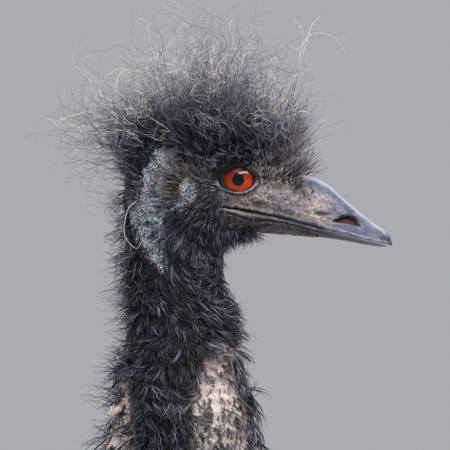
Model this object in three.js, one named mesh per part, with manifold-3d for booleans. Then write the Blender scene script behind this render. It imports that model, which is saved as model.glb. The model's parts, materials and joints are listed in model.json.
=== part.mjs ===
// An adult emu standing alert, as a life-size still model.
// Millimetres, +Z up, the bird faces +X, its left side is +Y, and its soles stand on Z = 0.
import * as THREE from "three";
import { mergeVertices } from "three/addons/utils/BufferGeometryUtils.js";
import Module from "manifold-3d";

const wasm = await Module();
wasm.setup();

// Driving dimensions, from which the tables of stations below are placed.
const GAP = 0.3; // clear air between two neighbouring nodes
const EYE = { x: 400, z: 1640, side: 20.5, ball: 14.5 }; // centre of each eyeball, and its radius
const LID = { long: 27, high: 19, tilt: 4 }; // the opening between the lids, and its slope in degrees
const GAPE = { back: -10, height: -18, slope: -0.2216, slit: 1 }; // the mouth line, seen from the eye
const BILL_EDGE = { top: [50, 2], bottom: [27, -38] }; // where horn meets the skin of the face
const NOSTRIL = { x: 72.6, z: -27.5, long: 21, high: 5.4, deep: 7 };
const EAR = { x: -51, z: -1, long: 15, high: 12, deep: 4 };
const STANCE = { half: 95, stagger: 28 }; // half the distance between the feet, and half their stagger
const TOE_REACH = { middle: 122, inner: 74, outer: 78 }; // from the ball of the foot to the claw
const SCUTES = { tarsus: 13, toe: 5, raise: 1.6 }; // plates down each limb, and how far they stand out

// One station of a form is [x, z, towards the back, towards the belly, half width].
// Lengths of the head's stations are measured from the eye.
const HEAD_STATIONS = [
  [-68, -4, 24, 24, 20],
  [-54, -4, 37, 40, 29.5],
  [-35, -3, 44, 47, 34],
  [-15, -3, 44, 44, 35],
  [0, -5, 41, 37, 33.5],
  [15, -11, 37, 28, 29.5],
  [30, -20, 33.5, 18, 26.5],
  [44, -27, 31.5, 11, 24.5],
  [58, -31.5, 29, 7, 22.5],
  [72, -35.5, 23, 5, 19.5],
  [85, -38.5, 15, 3.8, 15],
  [95, -40.8, 7.5, 2.4, 9],
];
const NECK_STATIONS = [
  [190, 985, 105, 110, 92],
  [252, 1075, 92, 100, 82],
  [303, 1185, 76, 82, 68],
  [334, 1300, 64, 66, 56],
  [352, 1400, 56, 58, 49],
  [359, 1470, 50, 52, 44],
  [361, 1530, 37, 39, 35],
  [359, 1575, 33, 35, 31],
  [362, 1612, 31, 33, 29],
];
const TORSO_STATIONS = [
  [-372, 880, 78, 72, 78],
  [-330, 885, 128, 118, 126],
  [-250, 880, 178, 168, 172],
  [-130, 872, 208, 206, 196],
  [0, 865, 214, 210, 198],
  [120, 868, 200, 192, 178],
  [220, 885, 158, 148, 142],
  [290, 906, 92, 84, 86],
];
const TAIL_STATIONS = [
  [-436, 745, 30, 34, 70],
  [-430, 810, 38, 50, 98],
  [-408, 870, 40, 60, 106],
  [-372, 930, 40, 60, 92],
];
const WING_STATIONS = [
  [60, 800, 9, 11, 7],
  [95, 835, 14, 18, 11],
  [140, 880, 20, 26, 14],
  [172, 930, 18, 24, 12],
];
const THIGH_STATIONS = [
  [60, 830, 76, 90, 60],
  [38, 745, 74, 82, 60],
  [8, 660, 58, 62, 50],
  [-30, 585, 42, 45, 37],
  [-62, 525, 30, 31, 27],
];
const SHANK_STATIONS = [
  [-50, 545, 22, 24, 19],
  [-82, 498, 20, 21, 17],
  [-108, 456, 23, 23, 19],
  [-122, 432, 27, 27, 22],
];
const TARSUS_STATIONS = [
  [-126, 424, 25, 26, 21],
  [-120, 395, 22, 23, 18.5],
  [-108, 330, 17.5, 18.5, 15],
  [-92, 240, 16, 16.5, 13.5],
  [-76, 150, 16.5, 16.5, 14],
  [-64, 85, 20, 19, 18],
  [-56, 33, 22, 21, 20.5],
];

// How the locks of each coat lie. The tiers run between two shares of the way along the form,
// reach is how far a lock runs on along it, sweep how far round it, and rise lifts the tips.
const LOCK_SIDES = 3;
const COATS = {
  neck_upper: { tiers: [0.95, 0.72], count: 3, around: 5, reach: -0.14, width: 44, thick: 10, rise: 10 },
  neck_middle: { tiers: [0.59, 0.45], count: 2, around: 6, reach: -0.15, width: 58, thick: 13, rise: 15 },
  neck_lower: { tiers: [0.355, 0.2], count: 2, around: 6, reach: -0.19, width: 88, thick: 17, rise: 28 },
  torso: { tiers: [0.99, 0.1], count: 6, reach: -0.19, width: 122, thick: 26, rise: 38 },
  tail: { tiers: [0.92, 0.5], count: 2, around: 5, reach: -1.05, width: 72, thick: 18, rise: 26 },
  thigh: { tiers: [0.42, 0.66], count: 2, around: 4, reach: 0.33, width: 66, thick: 14, rise: 16 },
  wing: { tiers: [0.85, 0.4], count: 2, around: 3, reach: -0.6, width: 32, thick: 8, rise: 10 },
};
const FLANK_TIERS = [0.12, 0.58, 1.04, 1.5, 1.95]; // angles down from the parting along the spine
const FLANK_SWEEP = 0.76;
const BREAST_ROWS = [
  [0.95, [-2.4, 2.4, 3.14]],
  [0.35, [-2.75, -2.1, 2.1, 2.75]],
]; // how far out over the front of the breast, and angles from the top
const BREAST_LOCK = { long: 165, width: 84, thick: 22, sink: 14, out: 20 };
const CREST_ROWS = [
  [0.57, 4, 0.8, 44, -12],
  [0.47, 5, 1.0, 56, 12],
  [0.37, 5, 1.05, 66, 24],
  [0.27, 5, 1.2, 70, 28],
  [0.16, 6, 1.4, 68, 30],
  [0.04, 6, 1.7, 60, 30],
]; // share along the head, locks, half spread in radians, length, backward turn of each bend in degrees
const CREST_LOCK = { width: 21, thick: 6.5, sink: 7, bends: 4 };

const SIDES = [
  ["right", -1],
  ["left", 1],
];

// Columns around and rows along each form.
const FACETS = {
  lock: 4,
  crest: 6,
  head: [20, 18],
  neck: [13, 15],
  torso: [18, 11],
  thigh: [10, 5],
  shank: [9, 5],
  tarsus: [8, SCUTES.tarsus * 2],
  toe: [7, SCUTES.toe * 2],
  claw: [6, 4],
  tail: [12, 4],
  wing: [8, 5],
  eye: [12, 8],
};

// A number raised to a power with its sign kept, which squares or pinches an ellipse.
function signedPower(value, power) {
  return Math.sign(value) * Math.abs(value) ** power;
}

// A rounded form through a list of stations in one upright plane, with a dome or a flat at each end.
class Form {
  constructor(stations, { square = 2, domes = [0, 0], y = 0, shiftX = 0 } = {}) {
    const centres = stations.map(([x, z]) => new THREE.Vector3(x + shiftX, y, z));
    const sizes = stations.map(([, , back, belly, side]) => new THREE.Vector3(back, belly, side));
    this.path = new THREE.CatmullRomCurve3(centres, false, "centripetal");
    this.sizes = new THREE.CatmullRomCurve3(sizes, false, "catmullrom", 0.5);
    this.square = square;
    this.domes = domes;
  }

  // The point at a share of the way along and an angle from the back towards the left side.
  at(along, angle, grow = 0, dome = 0) {
    const t = THREE.MathUtils.clamp(along, 0, 1);
    const size = this.sizes.getPoint(t);
    const tangent = this.path.getTangent(t);
    const back = new THREE.Vector3(-tangent.z, 0, tangent.x);
    const shrink = Math.cos(dome);
    const up = (Math.cos(angle) > 0 ? size.x : size.y) + grow;
    const end = along < 0.5 ? -(this.domes[0] + grow) : this.domes[1] + grow;
    const power = 2 / this.square;
    return this.path
      .getPoint(t)
      .addScaledVector(back, shrink * up * signedPower(Math.cos(angle), power))
      .addScaledVector(tangent, end * Math.sin(dome))
      .add(new THREE.Vector3(0, shrink * (size.z + grow) * signedPower(Math.sin(angle), power), 0));
  }

  // A point that may lie past an end of the form, straight on from it, and the way out there.
  spot(along, angle, height) {
    const t = THREE.MathUtils.clamp(along, 0, 1);
    const past = this.path.getTangent(t).multiplyScalar((along - t) * this.path.getLength());
    const point = this.at(t, angle, height);
    const out = this.at(t, angle, height + 1).sub(point).normalize();
    return { point: point.add(past), out };
  }

  // The form as a closed geometry, a sphere whose rows are laid along the stations.
  geometry(around, rows, grow = 0, bump = () => 0) {
    const domeRows = this.domes.map((height) => (height > 0 ? 3 : 1));
    const total = domeRows[0] + rows + domeRows[1];
    return laidSphere(around, total, (share, row) => {
      const angle = share * 2 * Math.PI;
      if (row < domeRows[0]) return this.at(0, angle, grow, (1 - row / domeRows[0]) * (Math.PI / 2));
      const past = row - domeRows[0] - rows;
      if (past > 0) return this.at(1, angle, grow, (past / domeRows[1]) * (Math.PI / 2));
      const along = (row - domeRows[0]) / rows;
      return this.at(along, angle, grow + bump(along, angle));
    });
  }

  solid([around, rows], grow = 0, bump) {
    return solidOf(this.geometry(around, rows, grow, bump));
  }
}

// A sphere geometry whose vertices are placed by a function of the share around and the row.
function laidSphere(around, rows, place) {
  const geometry = new THREE.SphereGeometry(1, around, rows);
  const position = geometry.getAttribute("position");
  for (let row = 0; row <= rows; row += 1)
    for (let column = 0; column <= around; column += 1) {
      const atPole = row === 0 || row === rows;
      const share = atPole || column === around ? 0 : column / around;
      const point = place(share, row);
      position.setXYZ(row * (around + 1) + column, point.x, point.y, point.z);
    }
  return geometry;
}

// A closed geometry as a solid that can be joined and cut, with its faces turned outwards.
function solidOf(geometry) {
  const bare = geometry.clone();
  bare.deleteAttribute("normal");
  bare.deleteAttribute("uv");
  const merged = mergeVertices(bare, 1e-4);
  const position = merged.getAttribute("position");
  const corners = new Uint32Array(merged.index.array);
  const [a, b, c] = [new THREE.Vector3(), new THREE.Vector3(), new THREE.Vector3()];
  let volume = 0;
  for (let i = 0; i < corners.length; i += 3) {
    a.fromBufferAttribute(position, corners[i]);
    b.fromBufferAttribute(position, corners[i + 1]);
    c.fromBufferAttribute(position, corners[i + 2]);
    volume += a.dot(b.cross(c));
  }
  if (volume < 0)
    for (let i = 0; i < corners.length; i += 3)
      [corners[i + 1], corners[i + 2]] = [corners[i + 2], corners[i + 1]];
  const mesh = new wasm.Mesh({
    numProp: 3,
    vertProperties: new Float32Array(position.array),
    triVerts: corners,
  });
  return new wasm.Manifold(mesh);
}

// The largest closed surface of a solid, without loose scraps and sealed hollows.
function largest(solid) {
  const bodies = solid.decompose();
  return bodies.reduce((most, body) => (body.volume() > most.volume() ? body : most));
}

function geometryOf(solid) {
  const mesh = solid.getMesh();
  const geometry = new THREE.BufferGeometry();
  geometry.setAttribute("position", new THREE.BufferAttribute(new Float32Array(mesh.vertProperties), 3));
  geometry.setIndex(new THREE.BufferAttribute(new Uint32Array(mesh.triVerts), 1));
  return geometry;
}

// Repeatable random numbers between two limits.
function draws(seed) {
  let state = seed;
  return (low, high) => {
    state = (state * 1664525 + 1013904223) % 4294967296;
    return low + ((high - low) * state) / 4294967296;
  };
}

// A flat, tapered lock along a run of spots, fullest a third of the way down, rooted at its first.
// Its section is a low triangle, so growing it moves the two sharp edges further than the faces.
function lockSolid({ run, width, thick, rows = FACETS.lock }, grow) {
  const path = new THREE.CatmullRomCurve3(run.map(({ point }) => point));
  const outs = new THREE.CatmullRomCurve3(run.map(({ out }) => out));
  const geometry = laidSphere(LOCK_SIDES, rows, (share, row) => {
    const along = row / rows;
    const tangent = path.getTangent(along);
    const across = tangent.clone().cross(outs.getPoint(along)).normalize();
    const out = across.clone().cross(tangent);
    const full = Math.sin(Math.PI * along ** 0.7);
    const angle = (share + 0.25) * 2 * Math.PI;
    const inner = row > 0 && row < rows ? grow : 0;
    return path
      .getPoint(along)
      .addScaledVector(tangent, row === 0 ? -grow : grow - inner)
      .addScaledVector(across, ((full * width) / 2 + 4 * inner) * Math.cos(angle))
      .addScaledVector(out, ((full * thick) / 2 + 2 * inner) * Math.sin(angle));
  });
  return solidOf(geometry);
}

// The run of a lock that lies along a form and lifts towards its tip. Past the form's widest
// line, or past its own root if that is lower, a hanging lock drops straight down.
function laidRun(form, root, reach, sweep, { sink, rise, hangs = false }) {
  return [0, 0.3, 0.65, 1].map((share) => {
    const height = rise * share - sink * (1 - share) ** 4;
    const angle = root.angle + sweep * share;
    const lowest = Math.max(Math.abs(root.angle), Math.PI / 2);
    const past = hangs ? Math.max(0, Math.abs(angle) - lowest) : 0;
    const { point, out } = form.spot(root.along + reach * share, angle - Math.sign(angle) * past, height);
    point.z -= past * form.sizes.getPoint(0.5).x;
    return { point, out };
  });
}

// Locks in staggered tiers round a form.
function tieredLocks(form, coat, seed) {
  const random = draws(seed);
  const locks = [];
  for (let tier = 0; tier < coat.count; tier += 1)
    for (let column = 0; column < coat.around; column += 1) {
      const share = (tier + random(-0.12, 0.12)) / Math.max(1, coat.count - 1);
      const along = THREE.MathUtils.lerp(...coat.tiers, THREE.MathUtils.clamp(share, 0, 1));
      const angle = ((column + tier / 2 + random(-0.15, 0.15)) / coat.around) * 2 * Math.PI;
      const reach = coat.reach * random(0.88, 1.06);
      const height = { sink: coat.thick * 0.6, rise: coat.rise * random(0.75, 1.15) };
      const run = laidRun(form, { along, angle }, reach, random(-0.35, 0.35), height);
      locks.push({ run, width: coat.width * random(0.85, 1.1), thick: coat.thick });
    }
  return locks;
}

// A form with its locks fused in, and what its locks and the whole of it keep clear round them.
function coated(core, locks) {
  const grow = GAP * 1.5;
  const fringe = wasm.Manifold.union(locks.map((lock) => lockSolid(lock, grow)));
  const solid = wasm.Manifold.union([core(0), ...locks.map((lock) => lockSolid(lock, 0))]);
  return { solid, fringe, clear: fringe.add(core(grow)) };
}

function finish(color, roughness, metalness = 0) {
  return new THREE.MeshStandardMaterial({ color, roughness, metalness });
}

const FINISHES = {
  plumage: finish(0x4a3f38, 0.9),
  neck_plumage: finish(0x24222a, 0.9),
  horn: finish(0x6f6a70, 0.45),
  iris: finish(0xa8380f, 0.08),
  scales: finish(0x4b4540, 0.7),
  claw: finish(0x1f1c1a, 0.5),
};

const emu = new THREE.Group();
emu.name = "emu";

function addNode(name, solid, slot) {
  const mesh = new THREE.Mesh(geometryOf(largest(solid)), FINISHES[slot]);
  mesh.name = name;
  emu.add(mesh);
}

function ball(x, y, z, radiusX, radiusY, radiusZ, columns = 20, rows = 14) {
  const geometry = new THREE.SphereGeometry(1, columns, rows);
  geometry.scale(radiusX, radiusY, radiusZ).translate(x, y, z);
  return solidOf(geometry);
}

function eyeball(side, grow = 0) {
  const radius = EYE.ball + grow;
  return ball(EYE.x, side * EYE.side, EYE.z, radius, radius, radius, ...FACETS.eye);
}

// Height of the mouth line above the ground at a distance forward of the eye.
function gapeHeight(forward) {
  return EYE.z + GAPE.height + GAPE.slope * (forward - GAPE.back);
}

// The opening between the lids, pushed sideways from inside the eyeball.
function lidOpening(side) {
  const [half, up, down] = [LID.long / 2, LID.high * 0.62, LID.high * 0.58];
  const almond = new THREE.Shape();
  almond.moveTo(-half, 0);
  almond.bezierCurveTo(-half * 0.5, up, half * 0.55, up, half, -LID.high * 0.06);
  almond.bezierCurveTo(half * 0.5, -down, -half * 0.6, -down * 1.05, -half, 0);
  const depth = 30;
  const geometry = new THREE.ExtrudeGeometry(almond, { depth, bevelEnabled: false, curveSegments: 5 });
  geometry.rotateX(Math.PI / 2).rotateY(THREE.MathUtils.degToRad(LID.tilt));
  geometry.translate(EYE.x, side * (EYE.side + 2) + (side > 0 ? depth : 0), EYE.z);
  return solidOf(geometry);
}

const headForm = new Form(
  HEAD_STATIONS.map(([x, z, ...sizes]) => [EYE.x + x, EYE.z + z, ...sizes]),
  { square: 2.15, domes: [9, 7.5] },
);

function mouthSlit() {
  const forward = 140;
  const box = new THREE.BoxGeometry(forward, 120, GAPE.slit);
  const pitch = Math.atan(GAPE.slope);
  box.translate(forward / 2, 0, 0).rotateY(-pitch).translate(EYE.x + GAPE.back, 0, gapeHeight(GAPE.back));
  return solidOf(box);
}

// The plane of the edge of the horn, as a normal that points forward and its offset.
function billPlane() {
  const [top, bottom] = [BILL_EDGE.top, BILL_EDGE.bottom];
  const normal = new THREE.Vector3(top[1] - bottom[1], 0, bottom[0] - top[0]).normalize();
  return { normal, offset: normal.dot(new THREE.Vector3(EYE.x + top[0], 0, EYE.z + top[1])) };
}

function keepAhead(solid, { normal, offset }, sign) {
  return solid.trimByPlane(normal.clone().multiplyScalar(sign).toArray(), sign * offset + GAP / 2);
}

function headAndBill() {
  let whole = headForm.solid(FACETS.head);
  for (const [, side] of SIDES) {
    const earAt = [EYE.x + EAR.x, side * 32, EYE.z + EAR.z];
    const ear = ball(...earAt, EAR.long / 2, EAR.deep + 2, EAR.high / 2, 10, 6);
    whole = whole
      .add(ball(EYE.x - 0.5, side * 22, EYE.z - 0.5, 18.5, 14.6, 14.5, 14, 9))
      .subtract(eyeball(side, GAP))
      .subtract(lidOpening(side))
      .subtract(ear);
  }
  const plane = billPlane();
  const bill = keepAhead(whole, plane, 1);
  const head = keepAhead(whole, plane, -1).subtract(mouthSlit());
  const gapeNormal = new THREE.Vector3(-GAPE.slope, 0, 1).normalize();
  const onGape = new THREE.Vector3(EYE.x + GAPE.back, 0, gapeHeight(GAPE.back));
  const gape = { normal: gapeNormal, offset: gapeNormal.dot(onGape) };
  const lower = keepAhead(bill, gape, -1);
  let upper = keepAhead(bill, gape, 1);
  for (const [, side] of SIDES) {
    const nostril = new THREE.SphereGeometry(1, 12, 6);
    nostril.scale(NOSTRIL.long / 2, NOSTRIL.deep, NOSTRIL.high / 2).rotateY(-Math.atan(GAPE.slope) * 1.1);
    nostril.translate(EYE.x + NOSTRIL.x, side * 19, EYE.z + NOSTRIL.z);
    upper = upper.subtract(solidOf(nostril));
  }
  return { head, upper, lower };
}

const neckForm = new Form(NECK_STATIONS);
const torsoForm = new Form(TORSO_STATIONS, { domes: [40, 36] });
const tailForm = new Form(TAIL_STATIONS, { domes: [18, 20] });

// The slab of space between two heights, for the lengths of the neck.
function between(solid, low, high) {
  return solid.trimByPlane([0, 0, 1], low + GAP / 2).trimByPlane([0, 0, -1], -(high - GAP / 2));
}

// Curled locks that rise from the crown and the back of the head and bend over towards their tips.
function crestLocks() {
  const random = draws(7);
  const locks = [];
  for (const [along, count, spread, length, turn] of CREST_ROWS)
    for (let column = 0; column < count; column += 1) {
      const angle = spread * (((column + 0.5) / count) * 2 - 1) + random(-0.08, 0.08);
      const { point, out } = headForm.spot(along + random(-0.02, 0.02), angle, -CREST_LOCK.sink);
      const axis = new THREE.Vector3(random(-0.5, 0.5), -1, random(-0.4, 0.4)).normalize();
      const heading = out.clone().applyAxisAngle(axis, random(-0.2, 0.1));
      const step = (length * random(0.8, 1.15)) / CREST_LOCK.bends;
      const bend = THREE.MathUtils.degToRad(turn + random(-12, 12));
      const flat = column % 2 ? axis : new THREE.Vector3(-1, 0, 0.4);
      const run = [{ point, out: flat }];
      for (let part = 1; part <= CREST_LOCK.bends; part += 1) {
        run.push({ point: run[part - 1].point.clone().addScaledVector(heading, step), out: flat });
        heading.applyAxisAngle(axis, bend);
      }
      locks.push({ run, width: CREST_LOCK.width, thick: CREST_LOCK.thick, rows: FACETS.crest });
    }
  return locks;
}

// Locks that fall to both sides from the parting along the spine, and none where a wing lies.
function flankLocks() {
  const { tiers, count, reach, width, thick, rise } = COATS.torso;
  const random = draws(11);
  const locks = [];
  for (let column = 0; column < count; column += 1)
    for (const [tier, down] of FLANK_TIERS.entries())
      for (const [, side] of SIDES) {
        const share = (column + (tier % 2) / 2 + random(-0.12, 0.12)) / (count - 0.5);
        const along = THREE.MathUtils.lerp(...tiers, THREE.MathUtils.clamp(share, 0, 1));
        const angle = side * (down + random(-0.08, 0.08));
        const height = { sink: thick * 0.55, rise: rise * random(0.75, 1.1), hangs: true };
        const sweep = side * FLANK_SWEEP * random(0.85, 1.15);
        const run = laidRun(torsoForm, { along, angle }, reach * random(0.7, 1.2), sweep, height);
        const size = torsoForm.sizes.getPoint(along).z / torsoForm.sizes.getPoint(0.5).z;
        const fit = Math.max(0.55, size);
        if (!run.some(nearWing)) locks.push({ run, width: width * fit * random(0.85, 1.05), thick });
      }
  return locks;
}

// Locks that hang straight down from the front of the breast, below the neck.
function breastLocks() {
  const random = draws(13);
  const { long, width, thick, sink, out } = BREAST_LOCK;
  const forward = new THREE.Vector3(1, 0, 0.2);
  return BREAST_ROWS.flatMap(([dome, angles]) =>
    angles.map((angle) => {
      const root = torsoForm.at(1, angle, -sink, dome);
      const length = long * random(0.8, 1.1);
      const run = [0, 0.3, 0.65, 1].map((share) => {
        const lift = out * Math.min(1, share * 2.5);
        return { point: root.clone().add(new THREE.Vector3(lift, 0, -length * share)), out: forward };
      });
      return { run, width: width * random(0.85, 1.05), thick };
    }),
  );
}

// Whether a spot of a run is in the space of a wing.
function nearWing({ point }) {
  const [low, high] = [WING_STATIONS[0], WING_STATIONS.at(-1)];
  const margin = 10;
  const inside = (value, from, to) => value > from - margin && value < to + margin;
  return inside(point.x, low[0], high[0]) && inside(point.z, low[1], high[1]) && Math.abs(point.y) > 120;
}

function buildTrunk() {
  const { head, upper, lower } = headAndBill();
  const crowned = coated((grow) => (grow ? headForm.solid(FACETS.head, grow) : head), crestLocks());
  addNode("head", crowned.solid, "neck_plumage");
  addNode("bill_upper", upper.subtract(crowned.fringe), "horn");
  addNode("bill_lower", lower, "horn");
  for (const [name, side] of SIDES) addNode("eye_" + name, eyeball(side), "iris");
  const bodyLocks = [...flankLocks(), ...breastLocks()];
  const torso = coated((grow) => torsoForm.solid(FACETS.torso, grow), bodyLocks);
  addNode("torso", torso.solid, "plumage");
  const lengths = [
    ["neck_upper", 1470, 1700],
    ["neck_middle", 1290, 1470],
    ["neck_lower", 900, 1290],
  ];
  let above = crowned.clear;
  for (const [index, [name, low, high]] of lengths.entries()) {
    const core = (grow) => between(neckForm.solid(FACETS.neck, grow), low - grow, high + grow);
    const length = coated(core, tieredLocks(neckForm, COATS[name], 21 + index));
    addNode(name, length.solid.subtract(above).subtract(torso.clear), "neck_plumage");
    above = length.clear;
  }
  const tailLocks = tieredLocks(tailForm, COATS.tail, 31);
  const tail = coated((grow) => tailForm.solid(FACETS.tail, grow), tailLocks);
  addNode("tail", tail.solid.subtract(torso.clear), "plumage");
  return torso.clear;
}

function buildWing(name, side, torso) {
  const surface = torsoForm.at(0.75, Math.PI / 2).y;
  const form = new Form(WING_STATIONS, { domes: [14, 14], y: side * (surface - 2) });
  const wing = coated((grow) => form.solid(FACETS.wing, grow), tieredLocks(form, COATS.wing, 41));
  addNode("wing_" + name, wing.solid.subtract(torso), "plumage");
}

// Overlapping plates down the front of a limb, raised in its own surface and clear of its ends.
function scutes(count, raise) {
  return (along, angle) => {
    const front = Math.max(0, Math.cos(angle));
    const step = (along * count) % 1;
    return along < 0.12 || along > 0.95 ? 0 : front * raise * (1 - step);
  };
}

// A toe built along +X from the ball of the foot, with pads below and scutes above.
function toeForm(length) {
  const from = 14;
  const at = (share) => from + (length - from) * share;
  return new Form(
    [
      [at(0), 14, 15, 15, 14.5],
      [at(0.3), 12.5, 13.5, 13, 13],
      [at(0.65), 11.5, 11.5, 12, 12],
      [at(1), 10.5, 9.5, 10.8, 10.5],
    ],
    { domes: [0, 6] },
  );
}

function clawForm(length) {
  return new Form([
    [length - 4, 13, 7, 7.5, 7],
    [length + 10, 12, 6, 6.5, 5.8],
    [length + 22, 8.5, 4, 4, 4],
    [length + 33, 3.5, 1, 1, 1],
  ]);
}

function buildLeg(name, side, torso) {
  const y = side * STANCE.half;
  const stagger = side * STANCE.stagger;
  const place = (stations, share, options = {}) =>
    new Form(stations, { y, shiftX: stagger * share, ...options });
  const thigh = place(THIGH_STATIONS, 0.35, { domes: [0, 10] });
  const shank = place(SHANK_STATIONS, 0.5, { domes: [0, 8] });
  const tarsus = place(TARSUS_STATIONS, 0.8, { domes: [16, 0] });
  const drumstick = coated((grow) => thigh.solid(FACETS.thigh, grow), tieredLocks(thigh, COATS.thigh, 51));
  addNode("thigh_" + name, drumstick.solid.subtract(torso), "plumage");
  const calf = shank.solid(FACETS.shank).subtract(drumstick.clear).subtract(tarsus.solid(FACETS.tarsus, GAP));
  addNode("shank_" + name, calf, "scales");
  const foot = new THREE.Vector3(-56 + stagger * 0.8, y, 0);
  const pad = (grow) => ball(foot.x, y, 19, 27 + grow, 25 + grow, 21 + grow, 10, 6);
  const floor = (solid) => solid.trimByPlane([0, 0, 1], 0);
  const plated = tarsus.solid(FACETS.tarsus, 0, scutes(SCUTES.tarsus, SCUTES.raise));
  addNode("tarsus_" + name, plated, "scales");
  addNode("foot_" + name, floor(pad(0).subtract(tarsus.solid(FACETS.tarsus, GAP + SCUTES.raise))), "scales");
  const toes = [
    ["middle", 4],
    ["inner", -31],
    ["outer", 38],
  ];
  const taken = [pad(GAP), tarsus.solid(FACETS.tarsus, GAP + SCUTES.raise)];
  for (const [toe, turn] of toes) {
    const length = TOE_REACH[toe];
    const slim = toe === "middle" ? 1 : 0.86;
    const set = (solid) => solid.scale([1, slim, 1]).rotate([0, 0, side * turn]).translate(foot.toArray());
    const form = toeForm(length);
    const claw = set(clawForm(length).solid(FACETS.claw).subtract(form.solid(FACETS.toe, GAP)));
    const plates = scutes(SCUTES.toe, SCUTES.raise * slim * 0.7);
    const whole = set(form.solid(FACETS.toe, 0, plates));
    const flesh = taken.reduce((solid, other) => solid.subtract(other), whole);
    taken.push(set(form.solid(FACETS.toe, GAP, plates)));
    addNode("toe_" + toe + "_" + name, floor(flesh), "scales");
    addNode("claw_" + toe + "_" + name, floor(claw), "claw");
  }
}

const torso = buildTrunk();
for (const [name, side] of SIDES) {
  buildWing(name, side, torso);
  buildLeg(name, side, torso);
}

// The origin is on the floor below the spine, half way along the bird's length.
const box = new THREE.Box3().setFromObject(emu);
emu.position.set(-box.getCenter(new THREE.Vector3()).x, 0, 0);

export default emu;
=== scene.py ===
"""An adult emu with its skin, bill, eyes, scaled legs and hair-like feathers, on a pale studio floor."""

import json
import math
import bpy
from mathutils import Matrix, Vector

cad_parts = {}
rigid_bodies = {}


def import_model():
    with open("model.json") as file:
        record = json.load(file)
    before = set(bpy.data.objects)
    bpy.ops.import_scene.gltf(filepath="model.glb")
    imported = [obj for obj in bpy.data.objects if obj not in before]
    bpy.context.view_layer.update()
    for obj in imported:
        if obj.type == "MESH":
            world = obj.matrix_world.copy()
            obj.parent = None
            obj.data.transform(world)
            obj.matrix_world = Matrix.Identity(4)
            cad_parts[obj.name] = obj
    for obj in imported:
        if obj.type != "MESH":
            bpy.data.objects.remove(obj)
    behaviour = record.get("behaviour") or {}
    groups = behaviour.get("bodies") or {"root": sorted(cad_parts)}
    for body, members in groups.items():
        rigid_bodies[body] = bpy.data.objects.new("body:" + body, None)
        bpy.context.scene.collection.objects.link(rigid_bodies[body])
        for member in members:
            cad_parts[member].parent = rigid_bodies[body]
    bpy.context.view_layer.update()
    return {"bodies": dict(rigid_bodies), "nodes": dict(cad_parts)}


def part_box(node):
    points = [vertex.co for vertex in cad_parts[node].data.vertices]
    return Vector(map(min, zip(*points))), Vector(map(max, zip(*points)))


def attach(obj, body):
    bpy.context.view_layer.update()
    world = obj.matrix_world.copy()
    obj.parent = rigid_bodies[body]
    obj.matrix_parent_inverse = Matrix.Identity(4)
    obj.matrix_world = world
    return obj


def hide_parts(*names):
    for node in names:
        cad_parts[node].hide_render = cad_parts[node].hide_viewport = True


bl_info = {
    "name": "Emu",
    "version": (1, 0, 0),
    "blender": (4, 5, 0),
    "location": "View3D > Sidebar > Emu",
    "description": "Dresses the solid frame of a life-size emu",
    "category": "Add Mesh",
}

import bmesh
import bpy
import numpy as np
from bpy.props import FloatProperty, FloatVectorProperty, PointerProperty
from mathutils import Vector
from mathutils.bvhtree import BVHTree

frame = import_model()
BODY = next(iter(frame["bodies"]))

MM = 0.001
SIDES = (("right", -1), ("left", 1))


def middle_of(node):
    """The centre of a solid's box, in metres."""
    low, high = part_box(node)
    return (np.array(low) + np.array(high)) / 2


EYES = {name: middle_of("eye_" + name) for name, _ in SIDES}
BALL = (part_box("eye_right")[1][2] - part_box("eye_right")[0][2]) / 2 / MM
HEAD = np.array([EYES["right"][0], 0.0, EYES["right"][2]])  # midway between the eyes
HIPS_BACK = 400  # how far the hips lie behind the eyes
HIPS_X = HEAD[0] / MM - HIPS_BACK
FEET = {name: middle_of("foot_" + name) for name, _ in SIDES}


def length(label, about, millimetres):
    return FloatProperty(name=label, description=about, default=millimetres * MM, min=0.0, unit="LENGTH")


def colour(label, about, red, green, blue):
    given = (red, green, blue)
    limits = {"min": 0.0, "max": 1.0, "subtype": "COLOR"}
    return FloatVectorProperty(name=label, description=about, default=given, **limits)


class EmuSizes(bpy.types.PropertyGroup):
    """Lengths and widths of the feathers."""

    down: length("Crown down", "Length of the short dense feathers of the crown", 17)
    crown: length("Crown feathers", "Length of the upright feathers of the crown", 25)
    wisp: length("Wisps", "Length of the loose curling strands over the crown", 125)
    cheek: length("Cheek bristles", "Length of the bristles round the ear and on the cheek", 9)
    bristle: length("Face bristles", "Length of the bristles of the face", 4.2)
    neck: length("Neck feathers", "Length of the curved feathers of the upper neck", 15)
    lower_neck: length("Lower neck feathers", "Length of the feathers at the foot of the neck", 80)
    flank: length("Flank feathers", "Length of the feathers of the back and flanks", 142)
    tail: length("Tail feathers", "Length of the feathers of the rump", 120)
    thigh: length("Thigh feathers", "Length of the feathers of the thighs", 55)
    strand: length("Strand width", "Width of a strand on the head and upper neck", 0.56)
    blade: length("Blade width", "Width of a strand on the body", 3.2)


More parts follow.
